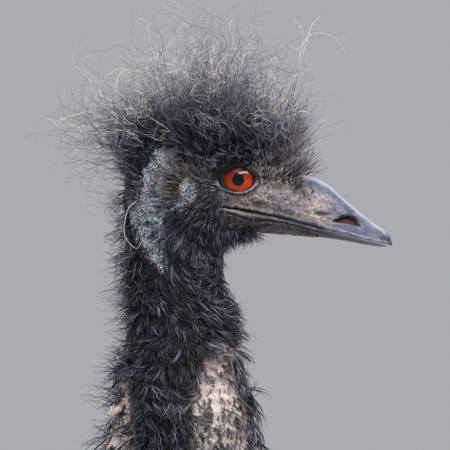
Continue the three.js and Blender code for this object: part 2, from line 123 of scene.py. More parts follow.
class EmuColours(bpy.types.PropertyGroup):
    """Colours of the skin, horn, eyes and feathers."""

    face: colour("Face skin", "Bare skin of the face", 0.275, 0.215, 0.205)
    lilac: colour("Lilac skin", "Bluish patches of the face and bill", 0.15, 0.155, 0.22)
    pale: colour("Pale skin", "Blue-white skin behind the ear", 0.50, 0.58, 0.70)
    buff: colour("Buff skin", "Bare folds of the neck", 0.62, 0.51, 0.47)
    slate: colour("Slate horn", "Horn of the bill", 0.060, 0.068, 0.108)
    iris: colour("Iris", "Lower half of the iris", 0.5, 0.045, 0.002)
    black: colour("Black feathers", "Feathers of the head and neck", 0.008, 0.009, 0.018)
    # Painted glints: this lighter colour on the tips of the head and neck feathers stands in for light on
    # them; it also tints the grey crest wisps.
    grey_and_glint: colour("Feather tips", "Tips of the feathers of the head and neck", 0.100, 0.104, 0.155)
    straw: colour("Pale wisps", "Pale strands of the crown", 0.72, 0.62, 0.56)
    brown: colour("Brown feathers", "Feathers of the body", 0.13, 0.098, 0.072)
    leg: colour("Leg plates", "Plates of the legs and toes", 0.10, 0.08, 0.066)


# One station of a form is [x, z, towards the back, towards the belly, half width], in millimetres.
# The head's are measured from the eyes, and end with how square its section is.
HEAD_STATIONS = [
    [-67, -5, 27, 28, 22, 2.1],
    [-54, -4, 36.5, 39, 29, 2.15],
    [-35, -3, 43, 46, 33, 2.15],
    [-15, -3, 43, 43, 34, 2.1],
    [0, -5, 40.5, 36, 32.5, 2.05],
    [15, -11, 36.5, 27.5, 28.5, 1.95],
    [30, -20, 33, 17.5, 25.5, 1.8],
    [44, -27, 31, 10.5, 23.5, 1.65],
    [60, -32, 28.5, 7.5, 22, 1.55],
]
NECK_STATIONS = [
    [190, 985, 89, 94, 76],
    [252, 1075, 77, 85, 67],
    [303, 1185, 62, 68, 54],
    [334, 1300, 52, 54, 44],
    [352, 1400, 46, 54, 40],
    [359, 1470, 43, 51, 38],
    [361, 1530, 32, 35, 30],
    [357, 1575, 29, 30, 27],
    [355, 1612, 29, 31, 27],
    [357, 1634, 27, 27, 24],
]
TORSO_STATIONS = [
    [-372, 880, 50, 45, 50],
    [-330, 885, 98, 88, 96],
    [-250, 880, 148, 138, 142],
    [-130, 872, 178, 176, 166],
    [0, 865, 184, 180, 168],
    [120, 868, 170, 162, 148],
    [220, 885, 128, 118, 112],
    [290, 906, 70, 62, 64],
]
BREAST_STATIONS = [
    [268, 1000, 27, 10, 56],
    [271, 950, 43, 10, 62],
    [270, 905, 48, 10, 62],
    [262, 860, 42, 10, 55],
    [240, 825, 30, 10, 45],
]
TAIL_STATIONS = [
    [-424, 800, 10, 14, 30],
    [-408, 850, 16, 26, 56],
    [-372, 910, 22, 36, 62],
]
WING_STATIONS = [
    [60, 800, 5, 6, 4],
    [95, 835, 9, 11, 7],
    [140, 880, 14, 18, 10],
    [172, 930, 14, 18, 10],
]
THIGH_STATIONS = [
    [60, 830, 62, 76, 46],
    [38, 745, 61, 69, 47],
    [8, 660, 46, 50, 38],
    [-30, 585, 31, 34, 27],
    [-62, 525, 21, 22, 18],
]
SHANK_STATIONS = [
    [-50, 545, 19, 21, 16.5],
    [-82, 498, 19, 20, 16.5],
    [-108, 456, 22.5, 22.5, 18.5],
    [-122, 432, 26, 26, 21],
]
TARSUS_STATIONS = [
    [-126, 424, 25, 26, 21],
    [-120, 395, 22, 23, 18.5],
    [-108, 330, 17.5, 18.5, 15],
    [-92, 240, 16, 16.5, 13.5],
    [-76, 150, 16.5, 16.5, 14],
    [-64, 85, 20, 19, 18],
    [-56, 33, 22, 21, 20.5],
]
STAGGER = 28  # half of how far one foot stands ahead of the other
TOES = (("middle", 4, 122, 1.0), ("inner", -31, 74, 0.86), ("outer", 38, 78, 0.86))

# The upper bill's stations are [x, ridge, half width], and the lower bill's [x, depth, half width].
BILL_UPPER = [
    [6, 2, 20],
    [22, 4.4, 22.5],
    [38, 4.2, 23],
    [50, 2.2, 22.2],
    [60, -3.0, 20.8],
    [70, -11.8, 18.9],
    [80, -20.1, 16.0],
    [89, -27.3, 12.4],
    [96, -32.4, 8.8],
    [100.6, -36.8, 4.6],
    [102, -40.6, 1.2],
]
BILL_LOWER = [
    [6, 13, 18],
    [22, 11.2, 21],
    [38, 8.8, 21.6],
    [55, 5.9, 20.0],
    [72, 3.9, 16.4],
    [86, 2.9, 11.8],
    [94, 2.1, 7.4],
    [98.4, 1.0, 3],
]
BILL_EDGE = ((47, 3), (57, -40))  # where the skin of the face ends, at the ridge and under the jaw
GAPE = (-9.7, -18.0)  # the corner of the mouth
MOUTH = (-0.1046, -0.002447, 0.0000119)  # how the mouth line falls from there
NOSTRIL = {"x": 71.8, "z": -28.3, "long": 10.4, "high": 6.6}
EAR = {"x": -45.0, "z": -5.0}
EAR_FAN = (-30.0, -6.0)  # the bristles over the ear spread from here
LID = {"middle": -1.3, "half": 11.8, "up": 8.1, "down": 7.8}
SOCKET = {"side": 20.5, "radii": (17, 14.4, 13.6)}
JOIN = {"head": 1.44, "body": 1.452}  # heights between which the skins of head and body overlap
NECK_TOP = -60  # height from the eyes below which the skin is the neck's
BELOW_BILL = 1.56  # height under which no feather is near the bill, in metres
GROUND = 0.0004  # height of the soles, in metres
SEEDS = {"head": 5, "crest": 6, "neck": 7, "body": 8}
SKIN = {"head": (1.8, 9), "body": (10, 6), "leg": (3.8, 4)}  # voxel size, and rounds of smoothing

# Rows of [height, middle, spread, tilt], which hills() adds up on the side of the face.
BARE_PATCHES = (
    (1, (-48.5, 15.5), (7, 8.5), 0.3),
    (1, (-33, -7), (5.2, 7), 0.3),
    (0.6, (-41, -18), (7, 4), 0.4),
    (0.8, (-58, 4), (7, 9), 0.4),
    (0.95, (-62, -8), (8.5, 9)),
    (1.0, (-62, -18), (9, 9)),
    (1.1, (-60, -28), (10.5, 9), -0.2),
    (0.85, (-59, -37), (9, 8), -0.3),
    (0.6, (-56, -46), (7, 8)),
    (0.5, (-50, -55), (4, 9), 0.1),
)
FRONT_FOLD = (
    (1.15, (-14, -154), (16, 32)),
    (0.7, (-15, -124), (8, 15)),
    (1, (-7, -184), (20, 24)),
    (0.5, (-6, -108), (7, 8)),
)
BACK_FOLD = ((1.7, (-88, -162), (17, 36)),)
FACE_RELIEF = (
    (1.7, (2, 14.5), (17, 3.2), -0.12),  # brow
    (-1.3, (27, -5), (9, 7)),  # hollow ahead of the eye
    (1.5, (14.5, -12.4), (4.8, 2.5), -0.12),  # wart below the eye
    (-0.9, (15, -15.8), (6, 0.9), -0.12),  # crease under it
    (0.9, (33, -14), (8, 4)),  # swelling towards the bill
    (1.5, (-4, -22), (16, 4.5), -0.15),  # cheek above the corner of the mouth
    (-1.2, (-22, 4), (7, 8)),  # hollow behind the eye
)
NECK_RELIEF = (
    (6.5, (-82, -132), (14, 8)),
    (6.5, (-86, -154), (14, 8)),
    (6.5, (-90, -178), (14, 8)),
    (2.5, (-12, -160), (16, 26), 0.3),
)

# Rows of [height, middle, half width], which bumps() adds up across a line.
EAR_RIM = ((1.2, 8.0, 2.2), (-1.2, 0, 4.2))
MOUTH_RIMS = ((0.9, 2.0, 1.1), (0.8, -2.0, 0.9), (0.6, -5.2, 0.9), (-0.5, 4.2, 0.9))
BILL_RIMS = ((0.5, 1.5, 1.0), (-0.55, 3.6, 0.8))
LOWER_RIMS = ((0.45, 1.9, 0.7), (-0.5, 3.6, 0.7), (0.35, 5.2, 0.7))
LID_FOLDS = (
    (0.75, 0.85, 0.6),
    (-0.35, 2.2, 0.5),
    (0.6, 3.6, 0.7),
    (-0.2, 4.9, 0.5),
    (0.4, 6.0, 0.7),
    (0.3, 8.1, 0.6),
)

# Plates across a toe: how far aside, how far tilted, and half sizes.
TOE_PLATES = (
    (0, 0.0, (9.5, 4.2, 1.5)),
    (9.5, 0.95, (4.2, 3.8, 1.0)),
    (-9.5, -0.95, (4.2, 3.8, 1.0)),
)


def signed_power(value, power):
    """A number raised to a power, with its sign kept."""
    return np.sign(value) * np.abs(value) ** power


def unit(vectors):
    """The vectors made 1 long."""
    return vectors / np.maximum(np.linalg.norm(vectors, axis=-1, keepdims=True), 1e-12)


def smooth(low, high, value):
    """0 below low, 1 above high, and a smooth step between."""
    share = np.clip((value - low) / (high - low), 0, 1)
    return share * share * (3 - 2 * share)


def blended(rows, share):
    """Rows blended along a smooth curve, at shares from 0 to 1."""
    place = np.clip(share, 0, 1) * (len(rows) - 1)
    index = np.minimum(place.astype(int), len(rows) - 2)
    u = (place - index)[..., None]
    padded = np.vstack([2 * rows[0] - rows[1], rows, 2 * rows[-1] - rows[-2]])
    a, b, c, d = (padded[index + step] for step in range(4))
    return 0.5 * (2 * b + (c - a) * u + (2 * a - 5 * b + 4 * c - d) * u**2 + (3 * b - a - 3 * c + d) * u**3)


class Form:
    """A rounded form through stations in an upright plane, closed by a dome at each end."""

    def __init__(self, stations, domes=(0, 0), y=0.0, shift=0.0):
        rows = np.array(stations, float)
        if rows.shape[1] == 5:
            rows = np.hstack([rows, np.full((len(rows), 1), 2.0)])  # an even ellipse
        rows[:, 0] += shift
        self.rows, self.domes, self.y = rows, domes, y

    def at(self, along, angle, grow=0.0, dome=0.0):
        """Points at shares of the way along and angles from the back towards the left side."""
        given = (np.asarray(value, float) for value in (along, angle, grow, dome))
        along, angle, grow, dome = np.broadcast_arrays(*given)
        rows = blended(self.rows, along)
        ahead = blended(self.rows, along + 0.004) - blended(self.rows, along - 0.004)
        tangent = unit(ahead[..., :2])
        shrink = np.cos(dome)
        up = (np.where(np.cos(angle) > 0, rows[..., 2], rows[..., 3]) + grow) * shrink
        power = 2 / rows[..., 5]
        up = up * signed_power(np.cos(angle), power)
        side = (rows[..., 4] + grow) * shrink * signed_power(np.sin(angle), power)
        end = np.where(along < 0.5, -self.domes[0] - grow, self.domes[1] + grow) * np.sin(dome)
        x = rows[..., 0] - tangent[..., 1] * up + tangent[..., 0] * end
        z = rows[..., 1] + tangent[..., 0] * up + tangent[..., 1] * end
        return np.stack([x, self.y + side, z], -1) * MM

    def shell(self, rows, around, grow=0.0):
        """The form as the points and faces of a closed grid."""
        dome = np.linspace(np.pi / 2, 0, 6)[1:-1]
        rings = [(0, turn) for turn in dome]
        rings += [(along, 0) for along in np.linspace(0, 1, rows)]
        rings += [(1, turn) for turn in dome[::-1]]
        points = [self.at(along, full_turn(around), grow, turn) for along, turn in rings]
        ends = [self.at(0, 0, grow, np.pi / 2)[None], self.at(1, 0, grow, np.pi / 2)[None]]
        return closed_grid(points, ends)


def full_turn(count):
    """Angles of a count of places evenly round a circle."""
    return np.arange(count) / count * 2 * np.pi


def closed_grid(rings, ends):
    """Points and faces of rings of equal length, joined in order and closed by a point at each end."""
    around = len(rings[0])
    points = np.concatenate([*rings, *ends])
    column = np.arange(around)
    beside = (column + 1) % around
    faces = []
    for row in range(len(rings) - 1):
        low, high = row * around, (row + 1) * around
        faces += np.stack([low + column, low + beside, high + beside, high + column], -1).tolist()
    first, last = len(rings) * around, len(rings) * around + 1
    faces += np.stack([np.full(around, first), beside, column], -1).tolist()
    top = (len(rings) - 1) * around
    faces += np.stack([np.full(around, last), top + column, top + beside], -1).tolist()
    return points, faces


def merged(shells):
    """Several sets of points and faces as one."""
    points, faces, start = [], [], 0
    for some, sides in shells:
        points.append(some)
        faces += [[corner + start for corner in face] for face in sides]
        start += len(some)
    return np.concatenate(points), faces


def head_form():
    """The form of the head, whose stations are measured from the eyes."""
    rows = np.array(HEAD_STATIONS, float)
    rows[:, :2] += [HEAD[0] / MM, HEAD[2] / MM]
    return Form(rows, domes=(9, 8))


def trunk_form(stations, shift=0, **kwargs):
    """A form whose stations are measured from the hips."""
    return Form(stations, shift=HIPS_X + shift, **kwargs)


def wing_form(side):
    """The small wing that lies along the flank."""
    surface = TORSO_FORM.at(0.75, np.pi / 2)[1] / MM
    return trunk_form(WING_STATIONS, domes=(6, 10), y=side * (surface + 14))


def leg_form(stations, side, share, **kwargs):
    """A length of one leg, moved forwards or back by a share of the stagger."""
    foot = FEET["left" if side > 0 else "right"]
    return trunk_form(stations, y=foot[1] / MM, shift=side * STAGGER * share, **kwargs)


HEAD_FORM = head_form()
NECK_FORM = trunk_form(NECK_STATIONS)
TORSO_FORM = trunk_form(TORSO_STATIONS, domes=(34, 30))
TAIL_FORM = trunk_form(TAIL_STATIONS, domes=(10, 10))
BREAST_FORM = trunk_form(BREAST_STATIONS)


def object_from(name, points, faces):
    """A new object from points and faces, with its faces outwards."""
    mesh = bpy.data.meshes.new(name)
    mesh.from_pydata([tuple(p) for p in points], [], faces)
    thing = linked(name, mesh)
    outward = bmesh.new()
    outward.from_mesh(mesh)
    bmesh.ops.recalc_face_normals(outward, faces=outward.faces)
    outward.to_mesh(mesh)
    outward.free()
    return thing


def applied(thing):
    """The thing with its modifiers made part of its mesh."""
    graph = bpy.context.evaluated_depsgraph_get()
    made = bpy.data.meshes.new_from_object(thing.evaluated_get(graph))
    thing.modifiers.clear()
    old = thing.data
    thing.data = made
    bpy.data.meshes.remove(old)
    return thing


def remeshed(name, shells, voxel, rounds):
    """One closed mesh round several overlapping shells, with its creases rounded."""
    thing = object_from(name, *merged(shells))
    remesh = thing.modifiers.new("round", "REMESH")
    remesh.mode = "VOXEL"
    remesh.voxel_size = voxel * MM
    smoothing = thing.modifiers.new("soften", "SMOOTH")
    smoothing.factor = 0.5
    smoothing.iterations = rounds
    return applied(thing)


def vectors_of(mesh, name):
    """A vector for each point of a mesh, such as its normal."""
    flat = np.empty(len(mesh.vertices) * 3, np.float32)
    mesh.vertices.foreach_get(name, flat)
    return flat.reshape(-1, 3).astype(float)


def coordinates(mesh):
    return vectors_of(mesh, "co")


def normals_of(mesh):
    return vectors_of(mesh, "normal")


def linked(name, data):
    """A new object in the scene."""
    thing = bpy.data.objects.new(name, data)
    bpy.context.scene.collection.objects.link(thing)
    return thing


def place_points(mesh, points):
    mesh.vertices.foreach_set("co", points.astype(np.float32).ravel())
    mesh.update()


def store(mesh, fields):
    """Keeps one number for each point of a mesh, under each name."""
    for name, values in fields.items():
        attribute = mesh.attributes.new(name, "FLOAT", "POINT")
        attribute.data.foreach_set("value", np.asarray(values, np.float32))


def ball_shell(centre, radii):
    """A round shell about a centre given in metres, with radii in millimetres."""
    around, rows = 48, 32
    angle = full_turn(around)
    rings = []
    for tilt in np.linspace(0, np.pi, rows + 2)[1:-1]:
        level = np.cos(angle) * np.sin(tilt), np.sin(angle) * np.sin(tilt)
        ring = np.stack([*level, np.full(around, np.cos(tilt))], -1)
        rings.append(centre + ring * np.array(radii) * MM)
    pole = np.array([[0, 0, 1]])
    return closed_grid(rings, [centre + pole * radii[2] * MM, centre - pole * radii[2] * MM])


def face_place(points):
    """Places on the face in millimetres from the eyes: ahead, out to the side and up."""
    x, y, z = ((points - HEAD) / MM).T
    return x, np.abs(y), z


def hill(x, z, at, spread, tilt=0.0):
    """A smooth hill on the side of the face, 1 at its middle."""
    dx, dz = x - at[0], z - at[1]
    cos, sin = math.cos(tilt), math.sin(tilt)
    u, v = dx * cos + dz * sin, dz * cos - dx * sin
    return np.exp(-((u / spread[0]) ** 2) - (v / spread[1]) ** 2)


def hills(x, z, rows):
    return sum(height * hill(x, z, *shape) for height, *shape in rows)


def bump(value, middle, half):
    """1 where a value is at the middle, fading over about half to each side."""
    return np.exp(-(((value - middle) / half) ** 2))


def bumps(value, rows):
    return sum(height * bump(value, *shape) for height, *shape in rows)


def mouth_line(x):
    """Height of the mouth line above the eyes."""
    ahead = x - GAPE[0]
    return GAPE[1] + ahead * (MOUTH[0] + ahead * (MOUTH[1] + ahead * MOUTH[2]))


def pores(points, coarse, fine):
    """The pitted relief that the bare skin and the base of the bill share."""
    return np.abs(wander(points, 7.5, 3)) * coarse + np.abs(wander(points, 3.6, 4)) * fine


def wander(points, size, seed):
    """A smooth, repeatable noise between about -1 and 1, with features of a size in millimetres."""
    random = np.random.default_rng(seed)
    total = np.zeros(len(points))
    for _ in range(6):
        way = unit(random.normal(size=3)) * 2 * np.pi / (size * MM) * random.uniform(0.6, 1.4)
        total += np.sin(points @ way + random.uniform(0, 2 * np.pi))
    return total / 2.6


def lid_distance(x, z):
    """Rough distance outside the almond between the lids, in millimetres, negative inside."""
    tilt = math.radians(-3)
    ahead = x - LID["middle"]
    u = ahead * math.cos(tilt) + z * math.sin(tilt)
    v = z * math.cos(tilt) - ahead * math.sin(tilt)
    across = np.where(v > 0, LID["up"], LID["down"])
    radius = (np.abs(u / LID["half"]) ** 1.8 + np.abs(v / across) ** 2) ** 0.52
    return (radius - 1) * (LID["half"] + across) / 2


def ear_distance(x, z):
    """Distance from the ear, measured a little less along the head than across it."""
    return np.hypot((x - EAR["x"]) / 1.15, z - EAR["z"])


def bare_patches(points):
    """How bare and pale the skin is, from 0 to 1: over and behind the ear and down the neck."""
    x, y, z = face_place(points)
    return np.clip(hills(x, z, BARE_PATCHES), 0, 1) * smooth(2, 9, y)


def lower_folds(points):
    """How much of the loose skin down the neck shows between the feathers, from 0 to 1."""
    x, y, z = face_place(points)
    front = np.clip(hills(x, z, FRONT_FOLD), 0, 1) * smooth(4, 14, y)
    return front + np.clip(hills(x, z, BACK_FOLD), 0, 1)


def bare_face(points):
    """1 on the bare skin of the face and jaw, fading into the feathers."""
    x, _, z = face_place(points)
    return smooth(-19, -5, x) * smooth(-46, -34, z) * smooth(3, -3, z - feather_line(x))


def dark_face(points):
    """1 where the face is darkened by bristles: under the feathers, round the eye and at the jaw."""
    x, _, z = face_place(points)
    under = smooth(-14, -6, z - feather_line(x)) * smooth(50, 42, x)
    return np.clip(under + smooth(2, -12, x) + smooth(-24, -33, z) * smooth(30, 8, x) * 0.7, 0, 1)


def ahead_of_edge(points):
    """Distance ahead of the edge of the face's skin, in millimetres."""
    (top_x, top_z), (low_x, low_z) = BILL_EDGE
    way = np.array([top_z - low_z, low_x - top_x]) / math.hypot(top_z - low_z, low_x - top_x)
    x, _, z = face_place(points)
    return (x - top_x) * way[0] + (z - top_z) * way[1]


def laid_on(points, things, closeness):
    """Points drawn towards the nearest surface of some things, with offsets from closeness()."""
    graph = bpy.context.evaluated_depsgraph_get()
    trees = [BVHTree.FromObject(thing, graph) for thing in things]
    ahead = ahead_of_edge(points)
    x, _, z = face_place(points)
    moved = points.copy()
    for row in np.flatnonzero((ahead > -16) & (z > NECK_TOP) & (x > 15)):
        hits = [tree.find_nearest(Vector(points[row])) for tree in trees]
        spot, normal, _, _ = min(hits, key=lambda hit: hit[3])
        share, offset = closeness(ahead[row])
        moved[row] += (np.array(spot) + np.array(normal) * offset * MM - moved[row]) * share
    return moved


def sculpt_head(points, normals):
    """Moves the points of the head's skin to the folds of the face, lids, ears and mouth."""
    x, _, z = face_place(points)
    side = np.clip(np.abs(normals[:, 1]) / 0.25, 0, 1)
    push = hills(x, z, FACE_RELIEF) + bumps(ear_distance(x, z), EAR_RIM)
    gap = z - mouth_line(x)
    mouth = smooth(-12, -7, x)
    push += mouth * bumps(gap, MOUTH_RIMS)
    lumps = pores(points, 0.8, 0.7) + wander(points, 1.9, 5) * 0.2
    push += (lumps - 0.45) * bare_face(points)
    push *= smooth(1, -7, ahead_of_edge(points))
    slit = mouth * bump(gap, 0, 0.55) * 2.2 * smooth(3, -1, ahead_of_edge(points))
    moved = points + normals * ((push - slit) * side * MM)[:, None]
    return shape_lids(moved)


def from_eye(points, name):
    """Places measured from one eye in millimetres, and how far from it they are."""
    places = (points - EYES[name]) / MM
    return places, np.linalg.norm(places, axis=1)


def shape_lids(points):
    """Wraps the skin over each eyeball as a pair of lids, and sinks it where the eye shows."""
    moved = points.copy()
    for name, sign in SIDES:
        places, radius = from_eye(points, name)
        near = (places[:, 1] * sign > 2) & (radius < 26)
        out = lid_distance(places[:, 0], places[:, 2])
        fold = bumps(out, LID_FOLDS) + wander(points, 2.2, 6) * 0.13 * smooth(1.5, 3.5, out)
        blend = smooth(2.6, 10.5, out)
        wanted = (BALL + 0.95 + fold) * (1 - blend) + (radius + fold * 0.7) * blend
        inside = smooth(0.0, -0.7, out)
        wanted = wanted * (1 - inside) + (BALL - 1.6) * inside
        scale = np.where(near, wanted / np.maximum(radius, 1e-6), 1.0)
        moved = np.where(near[:, None], EYES[name] + places * scale[:, None] * MM, moved)
    return moved


def finer(thing, chosen):
    """Cuts the faces round the chosen points of a thing into smaller ones."""
    mesh = bmesh.new()
    mesh.from_mesh(thing.data)
    mesh.verts.ensure_lookup_table()
    edges = [e for e in mesh.edges if chosen[e.verts[0].index] and chosen[e.verts[1].index]]
    bmesh.ops.subdivide_edges(mesh, edges=edges, cuts=1, use_grid_fill=True)
    mesh.to_mesh(thing.data)
    mesh.free()


def trimmed(thing, point, normal, part=None):
    """Takes off what lies ahead of a plane, in all of a thing or a part of it, and closes the cut."""
    chosen = part(coordinates(thing.data)) if part else None
    mesh = bmesh.new()
    mesh.from_mesh(thing.data)
    faces = [f for f in mesh.faces if chosen is None or all(chosen[v.index] for v in f.verts)]
    edges = {edge for face in faces for edge in face.edges}
    verts = {vert for face in faces for vert in face.verts}
    cut = {"plane_co": point, "plane_no": normal, "clear_outer": True}
    bmesh.ops.bisect_plane(mesh, geom=[*verts, *edges, *faces], **cut)
    bmesh.ops.holes_fill(mesh, edges=[e for e in mesh.edges if e.is_boundary])
    mesh.to_mesh(thing.data)
    mesh.free()
    return thing


def eye_places(points):
    """Distances from the nearer eye and outside its lids, in millimetres."""
    far, out = np.full(len(points), 99.0), np.full(len(points), 30.0)
    for name, sign in SIDES:
        places, radius = from_eye(points, name)
        near = (places[:, 1] * sign > 0) & (radius < 32)
        far = np.where(near, radius, far)
        out = np.where(near, lid_distance(places[:, 0], places[:, 2]), out)
    return far, out


def head_skin(bill):
    """The skin of the head and upper neck, which meets the horn of the bill."""
    shells = [HEAD_FORM.shell(90, 96), NECK_FORM.shell(160, 80)]
    for _, sign in SIDES:
        socket = HEAD + np.array([-0.5, sign * SOCKET["side"], -0.5]) * MM
        shells.append(ball_shell(socket, SOCKET["radii"]))
    thing = remeshed("skin", shells, *SKIN["head"])
    trimmed(thing, (0, 0, JOIN["head"]), (0, 0, -1))
    (top_x, top_z), (low_x, low_z) = BILL_EDGE
    ahead = Vector((top_z - low_z, 0, low_x - top_x)).normalized()
    edge = HEAD + np.array([top_x, 0, top_z]) * MM + np.array(ahead) * 1.5 * MM
    on_face = lambda points: (face_place(points)[0] > 20) & (face_place(points)[2] > NECK_TOP)
    trimmed(thing, edge, ahead, on_face)
    x, _, z = face_place(coordinates(thing.data))
    finer(thing, (x > -16) & (z > -42) & (z < 18))
    finer(thing, eye_places(coordinates(thing.data))[0] < 23)
    out = eye_places(coordinates(thing.data))[1]
    finer(thing, (out > -2) & (out < 3.6))
    closeness = lambda d: (float(smooth(-15, -5, d)), 0.45 - 1.5 * float(smooth(-5, 1, d)))
    place_points(thing.data, laid_on(coordinates(thing.data), bill, closeness))
    for sculpt in (sculpt_head, wrinkle_neck):
        place_points(thing.data, sculpt(coordinates(thing.data), normals_of(thing.data)))
    return thing


def wrinkle_neck(points, normals):
    """Shallow rings and folds of loose skin down the neck."""
    x, _, z = face_place(points)
    push = smooth(-60, -90, z) * 0.7 * np.sin(z * 0.68 + wander(points, 30, 8) * 2.2)
    push += hills(x, z, NECK_RELIEF)
    return points + normals * (push * MM)[:, None]


def toe_shells(name, side):
    """The shells of the pad and toes of one foot."""
    foot = FEET[name] / MM
    shells = [ball_shell(np.array([foot[0], foot[1], 19]) * MM, (26.5, 24.5, 20.5))]
    for _, turn, reach, slim in TOES:
        at = [14 + (reach - 14) * share for share in (0, 0.3, 0.65, 1)]
        rows = [
            [at[0], 14, 14.5, 15, 14],
            [at[1], 12.5, 13, 13, 12.6],
            [at[2], 11.5, 11, 12, 11.6],
            [at[3], 10.5, 9.2, 10.8, 10.2],
        ]
        shells.append(turned_toe(Form(rows, domes=(4, 6)).shell(40, 32), name, side * turn, slim))
    return shells


def turned_toe(shell, name, turn, slim):
    """A shell built ahead of the foot's middle, made slimmer, turned and set in its place."""
    points, faces = shell
    cos, sin = math.cos(math.radians(turn)), math.sin(math.radians(turn))
    x, y = points[:, 0], points[:, 1] * slim
    foot = FEET[name]
    return np.stack([x * cos - y * sin + foot[0], x * sin + y * cos + foot[1], points[:, 2]], -1), faces


def body_skin():
    shells = [NECK_FORM.shell(50, 48, -0.6), TORSO_FORM.shell(60, 72), TAIL_FORM.shell(16, 32)]
    for _, side in SIDES:
        shells.append(leg_form(THIGH_STATIONS, side, 0.35, domes=(20, 10)).shell(30, 40))
        shells.append(wing_form(side).shell(20, 24))
    thing = remeshed("body_skin", shells, *SKIN["body"])
    return trimmed(thing, (0, 0, JOIN["body"]), (0, 0, 1))


def leg_skin():
    """The bare skin of both legs and feet, level under the soles."""
    shells = []
    for name, side in SIDES:
        shells.append(leg_form(SHANK_STATIONS, side, 0.5, domes=(14, 8)).shell(24, 36))
        shells.append(leg_form(TARSUS_STATIONS, side, 0.8, domes=(14, 4)).shell(70, 36))
        shells += toe_shells(name, side)
    thing = remeshed("leg_skin", shells, *SKIN["leg"])
    points = coordinates(thing.data)
    points[:, 2] = np.maximum(points[:, 2], GROUND)
    place_points(thing.data, points)
    return thing


def fused(first, *others):
    """The first thing with the others joined into one closed mesh, and the others removed."""
    for other in others:
        join = first.modifiers.new("join", "BOOLEAN")
        join.operation = "UNION"
        join.solver = "MANIFOLD"
        join.object = other
    applied(first)
    for other in others:
        bpy.data.objects.remove(other)
    return first


def build_skin(bill):
    """The skin from the face to the toes, with the numbers that its paint needs."""
    thing = fused(head_skin(bill), body_skin(), leg_skin())
    points = coordinates(thing.data)
    x, _, z = face_place(points)
    gap = (z - mouth_line(x)) * (1 - 0.5 * bump(x, 8, 14))
    fields = {
        "pale": bare_patches(points),
        "fold": lower_folds(points),
        "face": bare_face(points),
        "ear": bump(ear_distance(x, z), 0, 13),
        "gap": np.where((x > -13) & (z > NECK_TOP), gap, 30),
        "lid": eye_places(points)[1],
        "dark": dark_face(points),
        "lilac": hill(x, z, (33, -14), (11, 6)),
    }
    store(thing.data, fields)
    thing.data.materials.clear()
    thing.data.materials.append(skin_paint())
    thing.data.polygons.foreach_set("material_index", np.zeros(len(thing.data.polygons), np.int32))
    thing.data.shade_smooth()
    return thing


def bill_upper_section(row, half=46, under=20):
    """A closed ring across the upper bill: over the ridge, down the flanks and back along the palate."""
    x, ridge, wide = row
    edge = mouth_line(x) + 0.35
    across = np.sin(np.linspace(-1, 1, 2 * half + 1) * np.pi / 2)
    keel = 0.42 * np.exp(-((np.abs(across) * max(wide, 6) / 5.2) ** 2))
    height = keel + 0.58 * (1 - across**2) ** 0.75
    top = np.stack([np.full_like(across, x), across * wide, edge + (ridge - edge) * height], -1)
    back = np.linspace(1, -1, under + 2)[1:-1]
    roof = edge + 0.2 * (ridge - edge) * (1 - np.abs(back) ** 1.5)
    return np.concatenate([top, np.stack([np.full_like(back, x), back * (wide - 0.8), roof], -1)])


def bill_lower_section(row, half=30, over=16):
    """A closed ring across the lower bill, a little narrower than the upper one."""
    x, depth, wide = row
    edge = mouth_line(x) - 0.4
    across = np.sin(np.linspace(-1, 1, 2 * half + 1) * np.pi / 2)
    deep = (1 - np.abs(across) ** 2.6) ** 0.62
    low = np.stack([np.full_like(across, x), across * wide, edge - (depth - 0.4) * deep], -1)
    back = np.linspace(1, -1, over + 2)[1:-1]
    floor = edge - 0.8 * (1 - back**2)
    return np.concatenate([low, np.stack([np.full_like(back, x), back * (wide - 0.6), floor], -1)])


def lofted(name, stations, section, rows, tip):
    """A closed loft through the sections of a table of stations, with rows crowded towards the tip."""
    share = 1 - (1 - np.linspace(0, 1, rows)) ** 1.15
    rings = [HEAD + section(row) * MM for row in blended(np.array(stations, float), share)]
    first, last = rings[0].mean(axis=0)[None], HEAD[None] + np.array([tip]) * MM
    return object_from(name, *closed_grid(rings, [first, last]))


def nostril_depth(x, z):
    """How far inside the nostril, from 0 to 1, and the share of its height above its floor."""
    dx, dz = x - (NOSTRIL["x"] - NOSTRIL["long"]), z - NOSTRIL["z"] - 0.8
    along = np.clip((0.989 * dx - 0.149 * dz) / (2 * NOSTRIL["long"]), 0.0, 1.0)
    up = 0.149 * dx + 0.989 * dz
    arch = NOSTRIL["high"] * np.sin(np.pi * along**1.2) ** 0.85
    inside = smooth(-0.15, 0.45, up) * smooth(-0.2, 0.5, arch - up)
    inside = inside * ((along > 0.01) & (along < 0.99))
    return inside, np.clip(up / np.maximum(arch, 0.5), 0, 1)


def sculpt_bill(points, normals):
    """Nostrils, the flap behind them, the groove under the ridge and the rim along the mouth."""
    x, _, z = face_place(points)
    out = smooth(0.08, 0.4, np.abs(normals[:, 1]))
    gap = z - mouth_line(x)
    nostril, high = nostril_depth(x, z)
    nostril = nostril * out
    push = -nostril * (1.4 + 3.0 * smooth(0.15, 0.5, high))
    push += 2.0 * hill(x, z, (58, -16.5), (9.5, 5.5), -0.5) * (1 - nostril)
    push -= 1.4 * hill(x, z, (55.5, -22.6), (6, 1.6), -0.1)
    ridge = np.interp(x, *np.array(BILL_UPPER)[:, :2].T) - z
    push -= 0.75 * bump(ridge, 6.2, 1.2) * smooth(64, 76, x) * smooth(99, 92, x)
    push += bumps(gap, BILL_RIMS)
    push += (pores(points, 0.4, 0.3) - 0.2) * smooth(84, 64, x) * smooth(2, 5, ridge)
    push *= smooth(30, 44, x)
    slot = hill(x, z, (55, -22.0), (8, 1.5), -0.1)
    moved = points + normals * (push * out * MM)[:, None]
    return moved, {"nostril": nostril, "high": high, "ridge": ridge, "gap": gap, "slot": slot}


